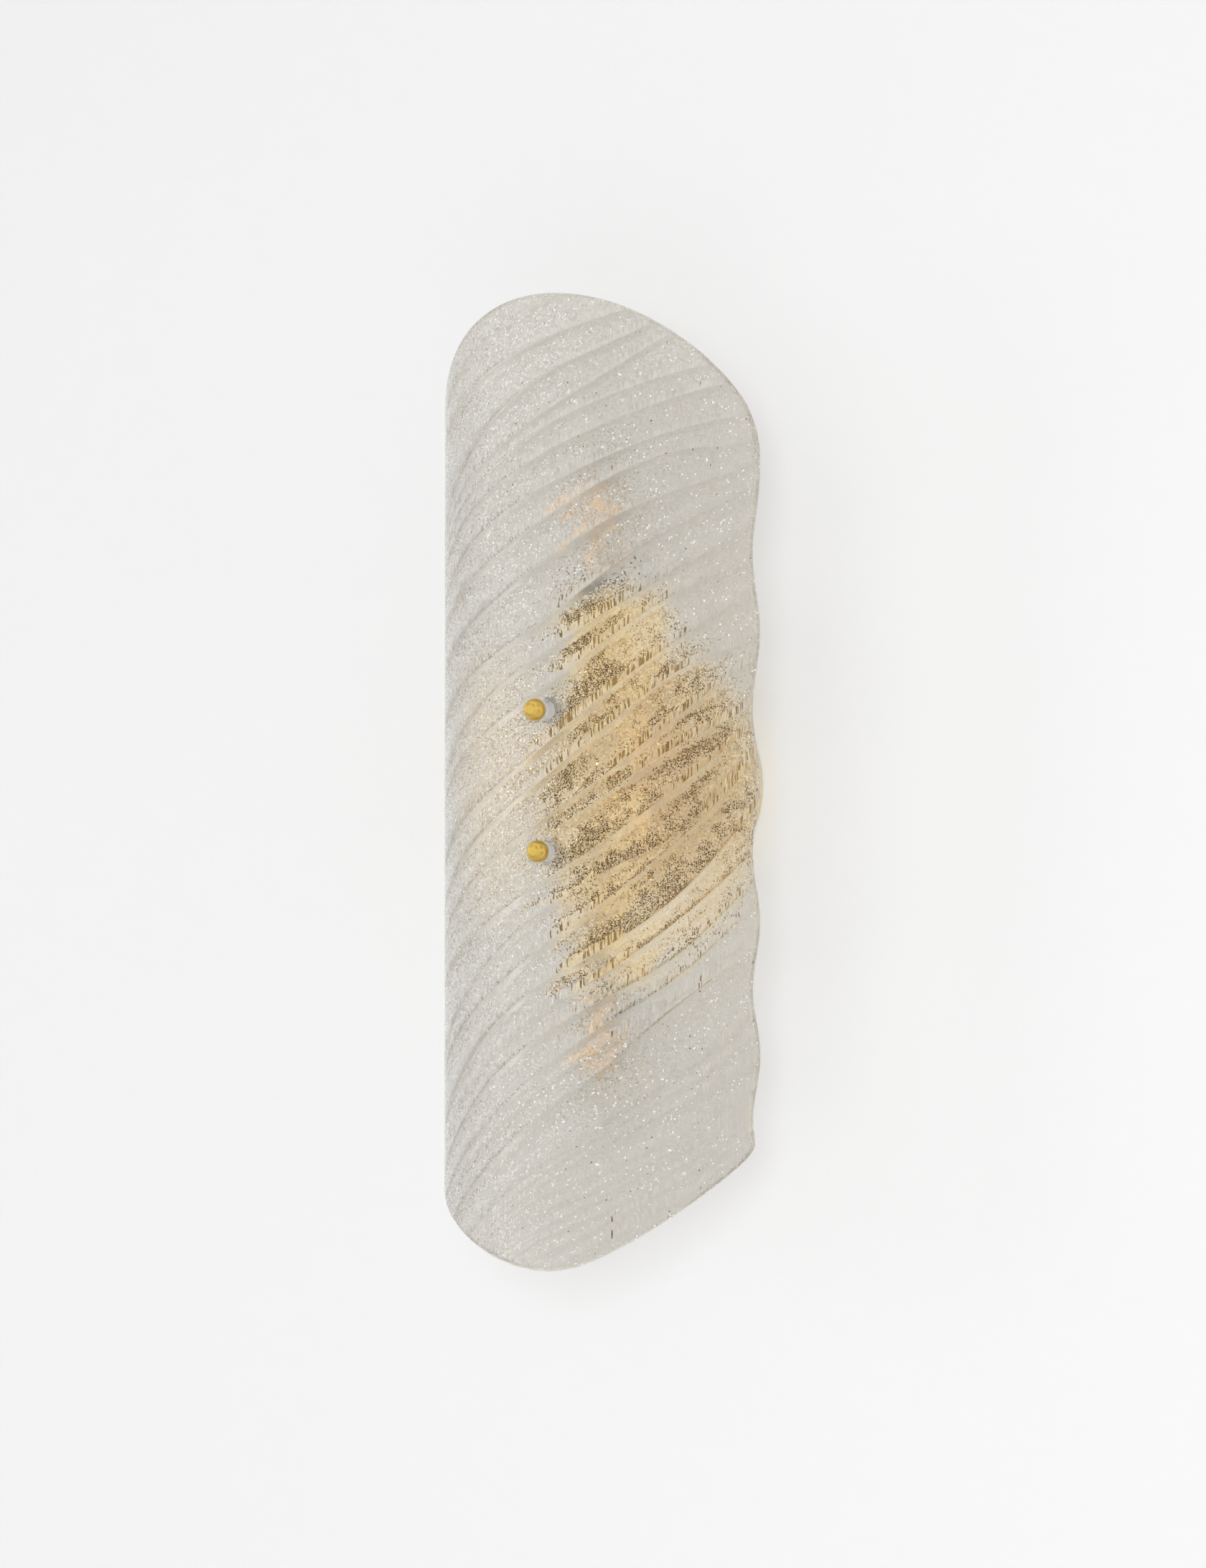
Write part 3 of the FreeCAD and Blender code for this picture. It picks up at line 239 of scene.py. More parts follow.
def makeLamp(name, setup):
    azimuth, elevation, distance, width, height, power = setup
    turn = math.radians(azimuth)
    rise = math.radians(elevation)
    flat = math.cos(rise)
    way = Vector((math.sin(turn) * flat, -math.cos(turn) * flat, math.sin(rise)))
    data = bpy.data.lights.new(name, "AREA")
    data.energy = power
    data.shape = "ELLIPSE"
    data.size = width
    data.size_y = height
    lamp = bpy.data.objects.new(name, data)
    bpy.context.scene.collection.objects.link(lamp)
    lamp.location = Vector(lampAim) + way * distance
    lamp.rotation_mode = "QUATERNION"
    lamp.rotation_quaternion = (-way).to_track_quat("-Z", "Y")
    # gloss and glass show the bright panels of the studio instead, apart from the lamp on the left
    lamp.visible_glossy = name == "leftLight"
    lamp.visible_transmission = False


def makeWorld(setup):
    # even light for matt surfaces; gloss and glass see a studio with bright panels between dark gaps
    world = bpy.data.worlds.new("studio")
    bpy.context.scene.world = world
    world.use_nodes = True
    tree = world.node_tree
    nodes = tree.nodes

    def calculate(operation, *values):
        node = nodes.new("ShaderNodeMath")
        node.operation = operation
        for index, value in enumerate(values):
            if isinstance(value, bpy.types.NodeSocket):
                tree.links.new(value, node.inputs[index])
            else:
                node.inputs[index].default_value = value
        return node.outputs[0]

    direction = nodes.new("ShaderNodeTexCoord").outputs["Generated"]
    split = nodes.new("ShaderNodeSeparateXYZ")
    tree.links.new(direction, split.inputs[0])
    bearing = calculate("ARCTAN2", split.outputs["X"], calculate("MULTIPLY", split.outputs["Y"], -1.0))
    upright = calculate("SINE", calculate("MULTIPLY_ADD", bearing, setup["panels"], setup["panelTurn"]))
    climb = calculate("MULTIPLY_ADD", split.outputs["Z"], setup["shelves"], setup["shelfRise"])
    level = calculate("SINE", climb)
    pattern = calculate("ADD", upright, calculate("MULTIPLY", level, setup["shelfShare"]))
    panel = nodes.new("ShaderNodeMapRange")
    panel.interpolation_type = "SMOOTHSTEP"
    edges = {"From Min": setup["gap"] - setup["gapEdge"], "From Max": setup["gap"] + setup["gapEdge"],
             "To Min": setup["darkWorld"], "To Max": setup["seenWorld"]}
    for name, value in edges.items():
        panel.inputs[name].default_value = value
    tree.links.new(pattern, panel.inputs["Value"])
    path = nodes.new("ShaderNodeLightPath")
    bounced = calculate("MAXIMUM", path.outputs["Is Glossy Ray"], path.outputs["Is Transmission Ray"])
    extra = calculate("SUBTRACT", panel.outputs["Result"], setup["litWorld"])
    strength = calculate("MULTIPLY_ADD", bounced, extra, setup["litWorld"])
    direct = path.outputs["Is Camera Ray"]
    strength = calculate("MAXIMUM", strength, calculate("MULTIPLY", direct, setup["seenWorld"]))
    background = nodes["Background"]
    background.inputs["Color"].default_value = (1, 1, 1, 1)
    tree.links.new(strength, background.inputs["Strength"])


def makeStage(setup):
    middle = setup["wallHeight"] / 2 - setup["floorDrop"]
    wall = makePlane("wall", (setup["wallSize"], setup["wallHeight"]), (0, setup["behind"], middle),
                     (math.pi / 2, 0, 0))
    wall.data.materials.append(paleWall("wallPaint", setup["wallColour"]))
    floor = makePlane("floor", (setup["wallSize"], setup["wallSize"]),
                      (0, setup["behind"] - setup["wallSize"] / 2, -setup["floorDrop"]), (0, 0, 0))
    floor.data.materials.append(paleWall("floorPaint", setup["wallColour"]))
    for name, lamp in lampSetup.items():
        makeLamp(name, lamp)
    makeWorld(setup)
    bpy.context.scene.view_settings.view_transform = "Standard"


makeStage(stageSetup)
print("stage 3: wall, floor and light")


shadeForm = {
    "halfHeight": 0.2286,
    "radius": 0.0909,
    "axis": -0.025,
    "halfWidth": 0.107,
    "sideSwing": 0.0023,
    "sideWaves": (68, 378),  # in mm: the length of a wave, and how fast the waves grow longer upwards
    "thickness": 0.0065,
    "ribDepth": 0.0013,
    "ribMiddle": 0.45,
    "fullWidth": 9,  # ribs narrower than this, in mm, are lower, down to the least share
    "leastShare": 0.1,
    "ribPower": 1.7,
    "lip": 0.0022,
    "lipRows": (1.0, 0.55, 0.22),
    "lipLimit": 0.4,
    "rowSpacing": 0.00108,
    "columns": 92,
    "columnCrowding": 0.86,
    "rim": 0.0016,
    "rimRows": (0.0, 0.12, 0.42, 0.8, 1.0),
    "rimClear": 1.4,
    "topDrop": 0.056,
    "topCorner": 0.146,
    "topPower": 24,
    "lowCorner": 0.168,
    "lowPower": 40,
    "lowRise": (0.50, 0.72),  # left and right of the lowest point
    "lowBlunt": (0.0186, 0.0253),
    "fadeFrom": 0.1,  # ribs flatten towards the side edges, over these widths and down to these shares
    "sideFade": (0.022, 0.15),
    "leftFade": (0.08, 0.12),
    "mergeDistance": 0.00002,
    "climbSteps": 60,
    "rowSteps": 30,
    "holeRadius": 0.0040,
    "holeMiddle": -0.112,
    "holeDepth": 0.04,
    "holeSides": 32,
    "holes": (0.03295, -0.03295),
}

# Creases of the glass, from the top down. Each has its heights at the stations, less the common climb of
# ribClimb, then its depth as a share of ribDepth, and where it starts and ends. Stations are places round
# the curve from its middle. Heights and places are in mm.
stations = (-100, -60, -30, 0, 30, 60, 100)
creases = (
    ((250, 247, 243, 240, 237, 235, 232), 0.5, -200, 200),
    ((232, 229, 227, 226, 224, 222, 219), 0.7, -200, 200),
    ((219, 215, 212, 208, 205, 203, 200), 1.0, -200, 200),
    ((184, 186, 190, 191.5, 190.5, 194, 197), 1.0, -200, 200),
    ((180, 177, 174.5, 173.5, 176, 184, 190), 0.9, -200, 200),
    ((174, 170.5, 168, 166.5, 164, 162.5, 161), 0.7, -200, 200),
    ((168, 163, 158.5, 154.5, 151, 149, 147.5), 0.9, -200, 200),
    ((156, 149, 144, 138.5, 134, 130.5, 122), 0.9, -200, 200),
    ((142, 134, 127, 124, 123, 119, 100), 1.0, -200, 200),
    ((124, 114, 107, 104.5, 102, 96, 82), 1.0, -200, 200),
    ((96, 90, 82, 76.5, 77, 76, 66), 1.0, -200, 200),
    ((70, 67, 65.5, 61, 57, 52, 44), 1.0, -200, 200),
    ((58, 55, 50, 45, 43.5, 40.5, 26), 1.0, -200, 200),
    ((30, 26.5, 21, 18, 18.5, 17, 11), 1.0, -200, 200),
    ((12, 9.5, 6.5, 3, 2.3, 2, -12), 1.0, -200, 200),
    ((-5, -7.5, -11, -16.5, -20, -20, -23), 1.0, -200, 200),
    ((-14, -18, -22, -26, -29.6, -33, -45), 0.8, 18, 200),
    ((-25, -31, -39, -45.5, -51, -53, -55), 0.9, -200, 200),
    ((-58, -58, -57, -59, -65.5, -74, -69), 0.6, -200, 48),
    ((-66, -69.5, -73, -75.5, -78.5, -78, -73), 0.9, -200, 200),
    ((-97, -93, -90, -93, -100, -102, -94), 1.0, -200, 200),
    ((-112, -108, -105, -107, -111.8, -112.5, -110.5), 0.9, 20, 200),
    ((-122, -119, -115, -117, -122.5, -127, -123), 0.9, -200, 200),
    ((-138, -137, -135, -132.5, -134, -136.3, -132.5), 0.8, -200, 200),
    ((-147, -146, -144, -143, -143, -145, -143), 0.5, 55, 200),
    ((-165, -161, -156.5, -153, -152.5, -148, -148), 0.8, -200, 200),
    ((-190, -186, -181, -178.5, -178, -177, -175), 0.6, -200, 200),
    ((-196, -191, -186, -182.5, -181.5, -182.5, -181), 0.3, -200, 200),
    ((-200, -195, -190, -187.5, -187, -188, -190), 0.4, -200, 60),
    ((-206, -201, -195, -193.5, -198, -200, -200), 0.5, -200, 45),
    ((-214, -209, -204, -201, -203, -203.5, -203), 0.4, -200, 35),
    ((-222, -215, -209, -208, -208, -207, -206), 0.6, -200, 200),
    ((-230, -223, -216, -213, -214.5, -212, -209.5), 0.5, -200, 200),
    ((-240, -231, -224, -221, -220, -217, -213), 0.5, -200, 200),
    ((-250, -241, -233, -229, -227, -224, -221), 0.4, -200, 200),
    ((-272, -262, -253, -248, -246, -243, -240), 0.4, -200, 200),
)

creaseFade = 14  # length in mm over which a crease starts or ends

# The common climb of the creases, in mm: steepest at one height, flatter above and below it, and bent
# near the top.
climbForm = {
    "steepestAt": -50,
    "steepest": 0.79,
    "flattening": 0.30,
    "reachUp": 250,
    "reachDown": 160,
    "reachLimit": 1.1,
    "bendFrom": 40,
    "bendOver": 130,
    "bendRadius": 250,
}


def ribClimb(along, height):
    # how far a crease has climbed at a place round the curve; all in mm
    form = climbForm
    reach = np.where(height > form["steepestAt"], form["reachUp"], form["reachDown"])
    share = np.clip((height - form["steepestAt"]) / reach, -form["reachLimit"], form["reachLimit"])
    turn = np.clip((height - form["bendFrom"]) / form["bendOver"], 0, 1)
    bend = turn ** 2 * (3 - 2 * turn) / form["bendRadius"]
    return (form["steepest"] - form["flattening"] * share ** 2) * along - bend * along ** 2 / 2


def creaseLevels(index, along):
    # height of each crease at a place round the curve, on a smooth line through its stations
    places = np.array(stations, float)
    levels = np.array([crease[0] for crease in creases], float)
    slopes = np.gradient(levels, places, axis=1)
    left = np.clip(np.searchsorted(places, along) - 1, 0, len(places) - 2)
    span = places[left + 1] - places[left]
    share = np.clip((along - places[left]) / span, -0.2, 1.2)
    low = levels[index, left]
    high = levels[index, left + 1]
    blend = share ** 2 * (3 - 2 * share)
    bow = share * (1 - share)
    start = bow * (1 - share) * slopes[index, left] * span
    end = bow * share * slopes[index, left + 1] * span
    return low + blend * (high - low) + start - end


def creaseDepth(index, along):
    depths = np.array([crease[1] for crease in creases])
    starts = np.array([crease[2] for crease in creases])
    ends = np.array([crease[3] for crease in creases])
    fadeIn = np.clip((along - starts[index]) / creaseFade + 0.5, 0, 1)
    fadeOut = np.clip((ends[index] - along) / creaseFade + 0.5, 0, 1)
    return depths[index] * fadeIn * fadeOut


def sideWave(z):
    level = np.clip(z, -shadeForm["lowCorner"], shadeForm["topCorner"]) * 1000
    length, stretch = shadeForm["sideWaves"]
    wave = np.cos(2 * math.pi * (level / length - (level / stretch) ** 2))
    return shadeForm["halfWidth"] + shadeForm["sideSwing"] * wave


def topLine(share):
    side = sideWave(np.array(shadeForm["topCorner"]))
    drop = shadeForm["topDrop"] / shadeForm["halfWidth"] ** 2
    corner = shadeForm["halfHeight"] - drop * side ** 2 - shadeForm["topCorner"]
    rounding = corner * (1 - np.sqrt(np.clip(1 - np.abs(share) ** shadeForm["topPower"], 0, 1)))
    return shadeForm["halfHeight"] - drop * (side * share) ** 2 - rounding


def bottomLine(share):
    side = sideWave(np.array(-shadeForm["lowCorner"]))
    rise = np.where(share > 0, shadeForm["lowRise"][1], shadeForm["lowRise"][0])
    blunt = np.where(share > 0, shadeForm["lowBlunt"][1], shadeForm["lowBlunt"][0])
    climb = np.hypot(rise * side * share, blunt) - blunt
    corner = shadeForm["halfHeight"] - shadeForm["lowCorner"] - (np.hypot(rise * side, blunt) - blunt)
    rounding = corner * (1 - np.sqrt(np.clip(1 - np.abs(share) ** shadeForm["lowPower"], 0, 1)))
    return -shadeForm["halfHeight"] + climb + rounding


def rowPlan(form):
    # number of the crease above each row and how far down the rib the row is, with closer rows at the lips
    ribs = []
    shares = []
    levels = np.array([crease[0] for crease in creases], float)
    for index in range(len(creases) - 1):
        width = (levels[index] - levels[index + 1]).max() / 1000
        steps = max(2, round((width - form["lip"]) / form["rowSpacing"]))
        body = np.arange(steps) / steps * (1 - form["lip"] / width)
        lip = 1 - form["lip"] / width * np.array(form["lipRows"])
        places = np.concatenate([body, lip])
        ribs += [index] * len(places)
        shares += list(places)
    return np.array(ribs[::-1]), np.array(shares[::-1])


def ribShape(form, along, z):
    # relief and the distances to the creases above and below, for points on the glass
    x = along * 1000
    level = z * 1000
    height = level.copy()
    for step in range(form["climbSteps"]):
        height = level - ribClimb(x, height)
    rib = np.zeros(len(x), int)
    for index in range(1, len(creases) - 1):
        rib += height < creaseLevels(index, x)
    above = creaseLevels(rib, x)
    below = creaseLevels(rib + 1, x)
    width = np.maximum(above - below, 0.01)
    down = np.clip((above - height) / width, 0, 1)
    lipWidth = np.minimum(form["lip"] * 1000, form["lipLimit"] * width)
    lip = np.clip(1 - (1 - down) * width / lipWidth, 0, 1)
    full = np.clip(width / form["fullWidth"], form["leastShare"], 1)
    valley = creaseDepth(rib, x)
    relief = full * valley * (1 - down) ** form["ribPower"]
    second = creaseLevels(np.minimum(rib + 2, len(creases) - 1), x)
    nextWidth = np.maximum(below - second, 0.01)
    nextFull = np.clip(nextWidth / form["fullWidth"], form["leastShare"], 1)
    relief = relief + nextFull * creaseDepth(rib + 1, x) * lip ** 2
    return relief, rib, down, width, valley


def makeShade(form):
    inset = form["rim"]
    rimSteps = np.array(form["rimRows"]) * inset
    across = np.linspace(-1, 1, form["columns"] + 1)
    widest = math.pi / 2 * form["columnCrowding"]
    across = np.sin(across * widest) / math.sin(widest)
    rimShare = rimSteps / form["halfWidth"]
    inside = np.abs(across) < 1 - rimShare[-1] * form["rimClear"]
    shares = np.concatenate([-1 + rimShare, across[inside], (1 - rimShare)[::-1]])
    ribs, places = rowPlan(form)
    extra = len(rimSteps) - 1
    rows = len(ribs) + 2 * extra
    columns = len(shares)
    deselectAll()
    bpy.ops.mesh.primitive_grid_add(x_subdivisions=columns - 1, y_subdivisions=rows - 1, size=1)
    shade = bpy.context.object
    shade.name = "glassShade"
    mesh = shade.data
    count = len(mesh.vertices)
    flat = np.empty(count * 3)
    mesh.vertices.foreach_get("co", flat)
    flat = flat.reshape(-1, 3)
    column = np.rint((flat[:, 0] + 0.5) * (columns - 1)).astype(int)
    row = np.rint((flat[:, 1] + 0.5) * (rows - 1)).astype(int)
    share = shares[column]
    top = topLine(share)
    bottom = bottomLine(share)
    rowRib = ribs[np.clip(row - extra, 0, len(ribs) - 1)]
    rowPlace = places[np.clip(row - extra, 0, len(ribs) - 1)]
    z = np.zeros(count)
    for step in range(form["rowSteps"]):
        along = sideWave(z) * share * 1000
        upper = creaseLevels(rowRib, along) * (1 - rowPlace)
        height = upper + creaseLevels(rowRib + 1, along) * rowPlace
        z = np.clip((height + ribClimb(along, height)) / 1000, bottom + inset, top - inset)
    low = row < extra
    z = np.where(low, bottom + rimSteps[np.clip(row, 0, extra)], z)
    high = row >= rows - extra
    z = np.where(high, top - rimSteps[np.clip(rows - 1 - row, 0, extra)], z)
    along = sideWave(z) * share
    relief, rib, down, width, strength = ribShape(form, along, z)
    sideFade, sideLeast = form["sideFade"]
    leftFade, leftLeast = form["leftFade"]
    fade = np.clip((form["fadeFrom"] - np.abs(along)) / sideFade, sideLeast, 1)
    fade = np.minimum(fade, np.clip((form["fadeFrom"] + along) / leftFade, leftLeast, 1))
    relief = form["ribMiddle"] + (relief - form["ribMiddle"]) * fade
    strength = strength * fade
    # distance to the rim rounds the edge over
    edge = np.minimum(np.minimum(top - z, z - bottom), (1 - np.abs(share)) * form["halfWidth"])
    over = np.clip(1 - edge / inset, 0, 1)
    rounding = inset * (1 - np.sqrt(np.clip(1 - over ** 2, 0, 1)))
    radius = form["radius"] - form["ribDepth"] * relief - rounding
    turn = along / form["radius"]
    outer = np.stack([radius * np.sin(turn), form["axis"] - radius * np.cos(turn), z], axis=1)
    innerRadius = form["radius"] - form["thickness"] + rounding
    inner = np.stack([innerRadius * np.sin(turn), form["axis"] - innerRadius * np.cos(turn), z], axis=1)
    mesh.vertices.foreach_set("co", outer.ravel())
    for name, values in (("ribAlong", along), ("ribNumber", rib + down), ("ribWidth", width / 1000),
                         ("creaseStrength", strength), ("rimNear", over)):
        layer = mesh.attributes.new(name, "FLOAT", "POINT")
        layer.data.foreach_set("value", values.astype(np.float32))
    # the rear skin is the front one drawn back
    activate(shade)
    bpy.ops.object.mode_set(mode="EDIT")
    bpy.ops.mesh.select_all(action="SELECT")
    bpy.ops.mesh.extrude_region()
    bpy.ops.object.mode_set(mode="OBJECT")
    total = len(mesh.vertices)
    coordinates = np.empty(total * 3)
    mesh.vertices.foreach_get("co", coordinates)
    coordinates = coordinates.reshape(-1, 3)
    coordinates[count:] = inner
    mesh.vertices.foreach_set("co", coordinates.ravel())
    skin = mesh.attributes.new("frontSkin", "FLOAT", "POINT")
    skin.data.foreach_set("value", (np.arange(total) < count).astype(np.float32))
    activate(shade)
    bpy.ops.object.mode_set(mode="EDIT")
    bpy.ops.mesh.select_all(action="SELECT")
    bpy.ops.mesh.remove_doubles(threshold=form["mergeDistance"])
    bpy.ops.mesh.normals_make_consistent(inside=False)
    bpy.ops.object.mode_set(mode="OBJECT")
    mesh.update()
    bpy.ops.object.shade_smooth()
    return shade


def drillShade(shade, form):
    # stud holes through the glass
    for z in form["holes"]:
        deselectAll()
        bpy.ops.mesh.primitive_cylinder_add(vertices=form["holeSides"], radius=form["holeRadius"],
                                            depth=form["holeDepth"], location=(0, form["holeMiddle"], z),
                                            rotation=(math.pi / 2, 0, 0))
        cutter = bpy.context.object
        activate(shade)
        cut = shade.modifiers.new("hole", "BOOLEAN")
        cut.operation = "DIFFERENCE"
        cut.solver = "EXACT"
        cut.object = cutter
        bpy.ops.object.modifier_apply(modifier="hole")
        bpy.data.objects.remove(cutter)


shade = makeShade(shadeForm)
drillShade(shade, shadeForm)
print("stage 4: glass shade,", len(shade.data.polygons), "faces")


# Lengths in metres. Centres and half sizes are given round the curve of the glass and up.
granules = {
    "size": 0.0007,
    "tilt": 0.8,
    "smoothTilt": 0.05,
    "patchTilt": (0.7, 1.2),
    "darkFrom": -0.00003,  # a granule is dark on one side of this distance from its middle
    "fray": 0.0012,
    "band": 0.0034,
    "bandWander": (0.5, 1.5),
    "bandLimit": 0.42,
    "bandEdge": (-0.0006, 0.0008),
    "stripe": 0.0052,
    "stripeTop": 0.6,
    "stripeLength": 0.85,
    "stripeWidth": 0.0006,
    "glintShare": 0.02,
    "darkShare": 0.003,
    "brassShare": 1.15,
    "combShare": 0.30,
    "combPatches": (0.38, 0.5, 0.1, 1),
    "clumpShares": (0.55, 0.45),
    "clumpDown": (0.1, 0.9, -0.05, 0.05),
    "clusters": (0.44, 0.58, 0.05),
    "palerFrom": (0.4, 0.95),
    "shadeShares": (0.5, 0.40),
    "smoothRough": (0.03, 0.22),
    "clear": (0.96, 0.88),
    "clearAtGlint": 0.10,
}

noiseSpan = (0.3, 0.7)  # most of a noise lies between these

noiseScale = {
    "ragged": 300,
    "clump": 150,
    "patches": 45,
    "wander": 28,
    "comb": 14,
    "ribDrift": (30.0, 1.2),
    "streak": (9.0, 1.3),
}

# what shows through the glass, painted into its colour: how much of it, and where; also where the painted
# warm glow, the painted shade low down and the painted sheen lie
seenThrough = {
    "frayAlong": 0.019,
    "tubeAlong": (0.034, 0.020, 0.013),
    "tubeUp": (-0.004, 0.092, 0.008),
    "plateCentre": (0.052, -0.010),
    "plateHalf": (0.056, 0.076),
    "plateEdge": (0.65, 1.15),
    "plateShare": 0.75,
    "glowCentre": (-0.035, 0.0),
    "glowHalf": (0.042, 0.075),
    "glowEdge": (0.1, 1.0),
    "glowShare": 0.6,
    "filamentCentre": (0.025, 0.118),
    "filamentHalf": (0.013, 0.025),
    "filamentEdge": (0.2, 1.2),
    "filamentClumps": (0.42, 0.56, 0.15, 1),
    "filamentShare": 0.8,
    "bottomShadeHeights": (-0.20, -0.06),
    "bottomShadeShare": 0.85,
    "sheenFrom": (0.15, 0.6),
    "sheenTo": (0.8, 1.0, 1, 0.2),
    "sheenStreaks": (0.4, 1.0),
    "sheenPlaces": (-0.08, 0.03),
    "sheenRight": 0.22,
    "sheenShare": 0.75,
    "veilShares": (0.6, 0.25),
}

glassColours = {
    "clear": (0.828, 0.788, 0.708, 1),
    "low": (0.76, 0.725, 0.65, 1),
    "band": (0.765, 0.725, 0.64, 1),
    "overBand": (0.86, 0.80, 0.66, 1),
    "milk": (0.93, 0.915, 0.88, 1),
    "glow": (1.0, 0.86, 0.66, 1),
    "cream": (1.0, 0.76, 0.37, 1),
    "peach": (1.0, 0.70, 0.40, 1),
    "rim": (0.93, 0.88, 0.78, 1),
    "shadow": (0.5, 0.5, 0.5, 1),
    "brown": (0.60, 0.40, 0.13, 1),
    "white": (0.96, 0.96, 0.96, 1),
    "dark": (0.09, 0.05, 0.015, 1),
    "comb": (0.34, 0.21, 0.065, 1),
    "lampShare": (0.87, 0.86, 0.845, 1),
}

# how much less clear the glass is under the painted sheen, over the painted-in brass, over a painted-in
# filament and at the rim
veils = {"paintedSheen": 0.55, "brass": 0.34, "filament": 0.35, "rim": 0.65}


def glassPlaces(shader):
    # where a point lies on the glass and on its rib
    place = {
        "point": shader.objectPoint(),
        "number": shader.attribute("ribNumber"),
        "along": shader.attribute("ribAlong"),
        "width": shader.attribute("ribWidth"),
        "strength": shader.attribute("creaseStrength"),
        "front": shader.attribute("frontSkin"),
        "rim": shader.attribute("rimNear"),
    }
    place["height"] = shader.add("SeparateXYZ", {"Vector": place["point"]}).outputs["Z"]
    place["down"] = shader.math("FRACT", place["number"])
    place["below"] = shader.times(place["down"], place["width"])
    place["above"] = shader.math("SUBTRACT", place["width"], place["below"])
    scale = noiseScale["ribDrift"]
    drift = shader.pair(shader.times(place["along"], scale[0]), shader.times(place["number"], scale[1]))
    place["drift"] = shader.noise(drift, 1.0, 2)
    reach = seenThrough["frayAlong"]
    fray = shader.spread(place["drift"], *noiseSpan, -reach, reach)
    place["frayed"] = shader.math("ADD", place["along"], fray)
    return place


def glassZones(shader, setup, place):
    # smooth under a crease, granules lower down, short stripes just above the next crease
    point = place["point"]
    ragged = shader.noise(point, noiseScale["ragged"], 3)
    ragged = shader.spread(ragged, 0.2, 0.8, -setup["fray"], setup["fray"])
    wander = shader.spread(shader.noise(point, noiseScale["wander"], 1), *noiseSpan, *setup["bandWander"])
    band = shader.times(wander, setup["band"])
    band = shader.math("MINIMUM", band, shader.times(place["width"], setup["bandLimit"]))
    past = shader.math("SUBTRACT", shader.math("ADD", place["below"], ragged), band)
    smooth = shader.spread(past, *setup["bandEdge"], 1, 0)
    smooth = shader.math("MULTIPLY", smooth, place["strength"], clamp=True)
    near = shader.math("ADD", place["above"], ragged)
    striped = shader.spread(near, setup["stripe"], setup["stripe"] * setup["stripeTop"], 0, 1)
    comb = shader.spread(shader.noise(point, noiseScale["comb"], 1), *setup["combPatches"])
    striped = shader.math("GREATER_THAN", shader.times(striped, comb), 0.5)
    return smooth, striped


def glassGrain(shader, setup, place, smooth, striped):
    # each granule or stripe has a random tone, which tilts it and picks the specks
    point = place["point"]
    grain = shader.add("TexVoronoi", {"Vector": point, "Scale": 1 / setup["size"]})
    acrossStripe = shader.math("DIVIDE", place["along"], setup["stripeWidth"])
    downStripe = shader.math("DIVIDE", place["below"], setup["stripe"] * setup["stripeLength"])
    stripePoint = shader.pair(acrossStripe, downStripe)
    stripe = shader.add("TexVoronoi", {"Vector": stripePoint, "Scale": 1.0}, voronoi_dimensions="2D")
    tone = shader.blend(striped, grain.outputs["Color"], stripe.outputs["Color"])
    lean = shader.vector("SUBTRACT", tone, (0.5, 0.5, 0.5))
    offset = shader.vector("SUBTRACT", point, grain.outputs["Position"])
    facing = shader.vector("DOT_PRODUCT", offset, lean, "Value")
    crescent = shader.math("MAXIMUM", shader.math("GREATER_THAN", facing, setup["darkFrom"]), striped)
    patches = shader.noise(point, noiseScale["patches"], 2)
    patches = shader.spread(patches, *noiseSpan, *setup["patchTilt"])
    force = shader.spread(smooth, 0, 1, setup["tilt"], setup["smoothTilt"])
    force = shader.times(patches, force, place["front"])
    tilt = shader.add("VectorMath", {0: lean, "Scale": force}, operation="SCALE").outputs[0]
    leaned = shader.vector("ADD", shader.add("NewGeometry").outputs["Normal"], tilt)
    normal = shader.add("VectorMath", {0: leaned}, operation="NORMALIZE").outputs[0]
    return shader.add("SeparateColor", {"Color": tone}), crescent, normal


def brassShare(shader, place):
    # where brass shows through the glass, painted into its colour: the tube, then the round plate to its
    # right
    tubeAcross = shader.window(place["frayed"], *seenThrough["tubeAlong"])
    overTube = shader.times(tubeAcross, shader.window(place["height"], *seenThrough["tubeUp"]))
    centre = seenThrough["plateCentre"]
    apart = shader.ellipse(place["along"], place["height"], centre, seenThrough["plateHalf"])
    overPlate = shader.spread(apart, *seenThrough["plateEdge"], 1, 0)
    overPlate = shader.times(overPlate, seenThrough["plateShare"])
    return shader.math("MAXIMUM", overTube, overPlate)


def sheenShare(shader, place):
    # painted sheen: milky-white streaks over the lower part of each rib, strongest on the left where the
    # light comes from
    low = shader.spread(place["down"], *seenThrough["sheenFrom"], 0, 1)
    low = shader.times(low, shader.spread(place["down"], *seenThrough["sheenTo"]))
    left = shader.spread(place["along"], *seenThrough["sheenPlaces"], 1, seenThrough["sheenRight"])
    scale = noiseScale["streak"]
    streak = shader.pair(shader.times(place["along"], scale[0]), shader.times(place["number"], scale[1]))
    streak = shader.spread(shader.noise(streak, 2.0, 2), *noiseSpan, *seenThrough["sheenStreaks"])
    return shader.times(low, left, streak)


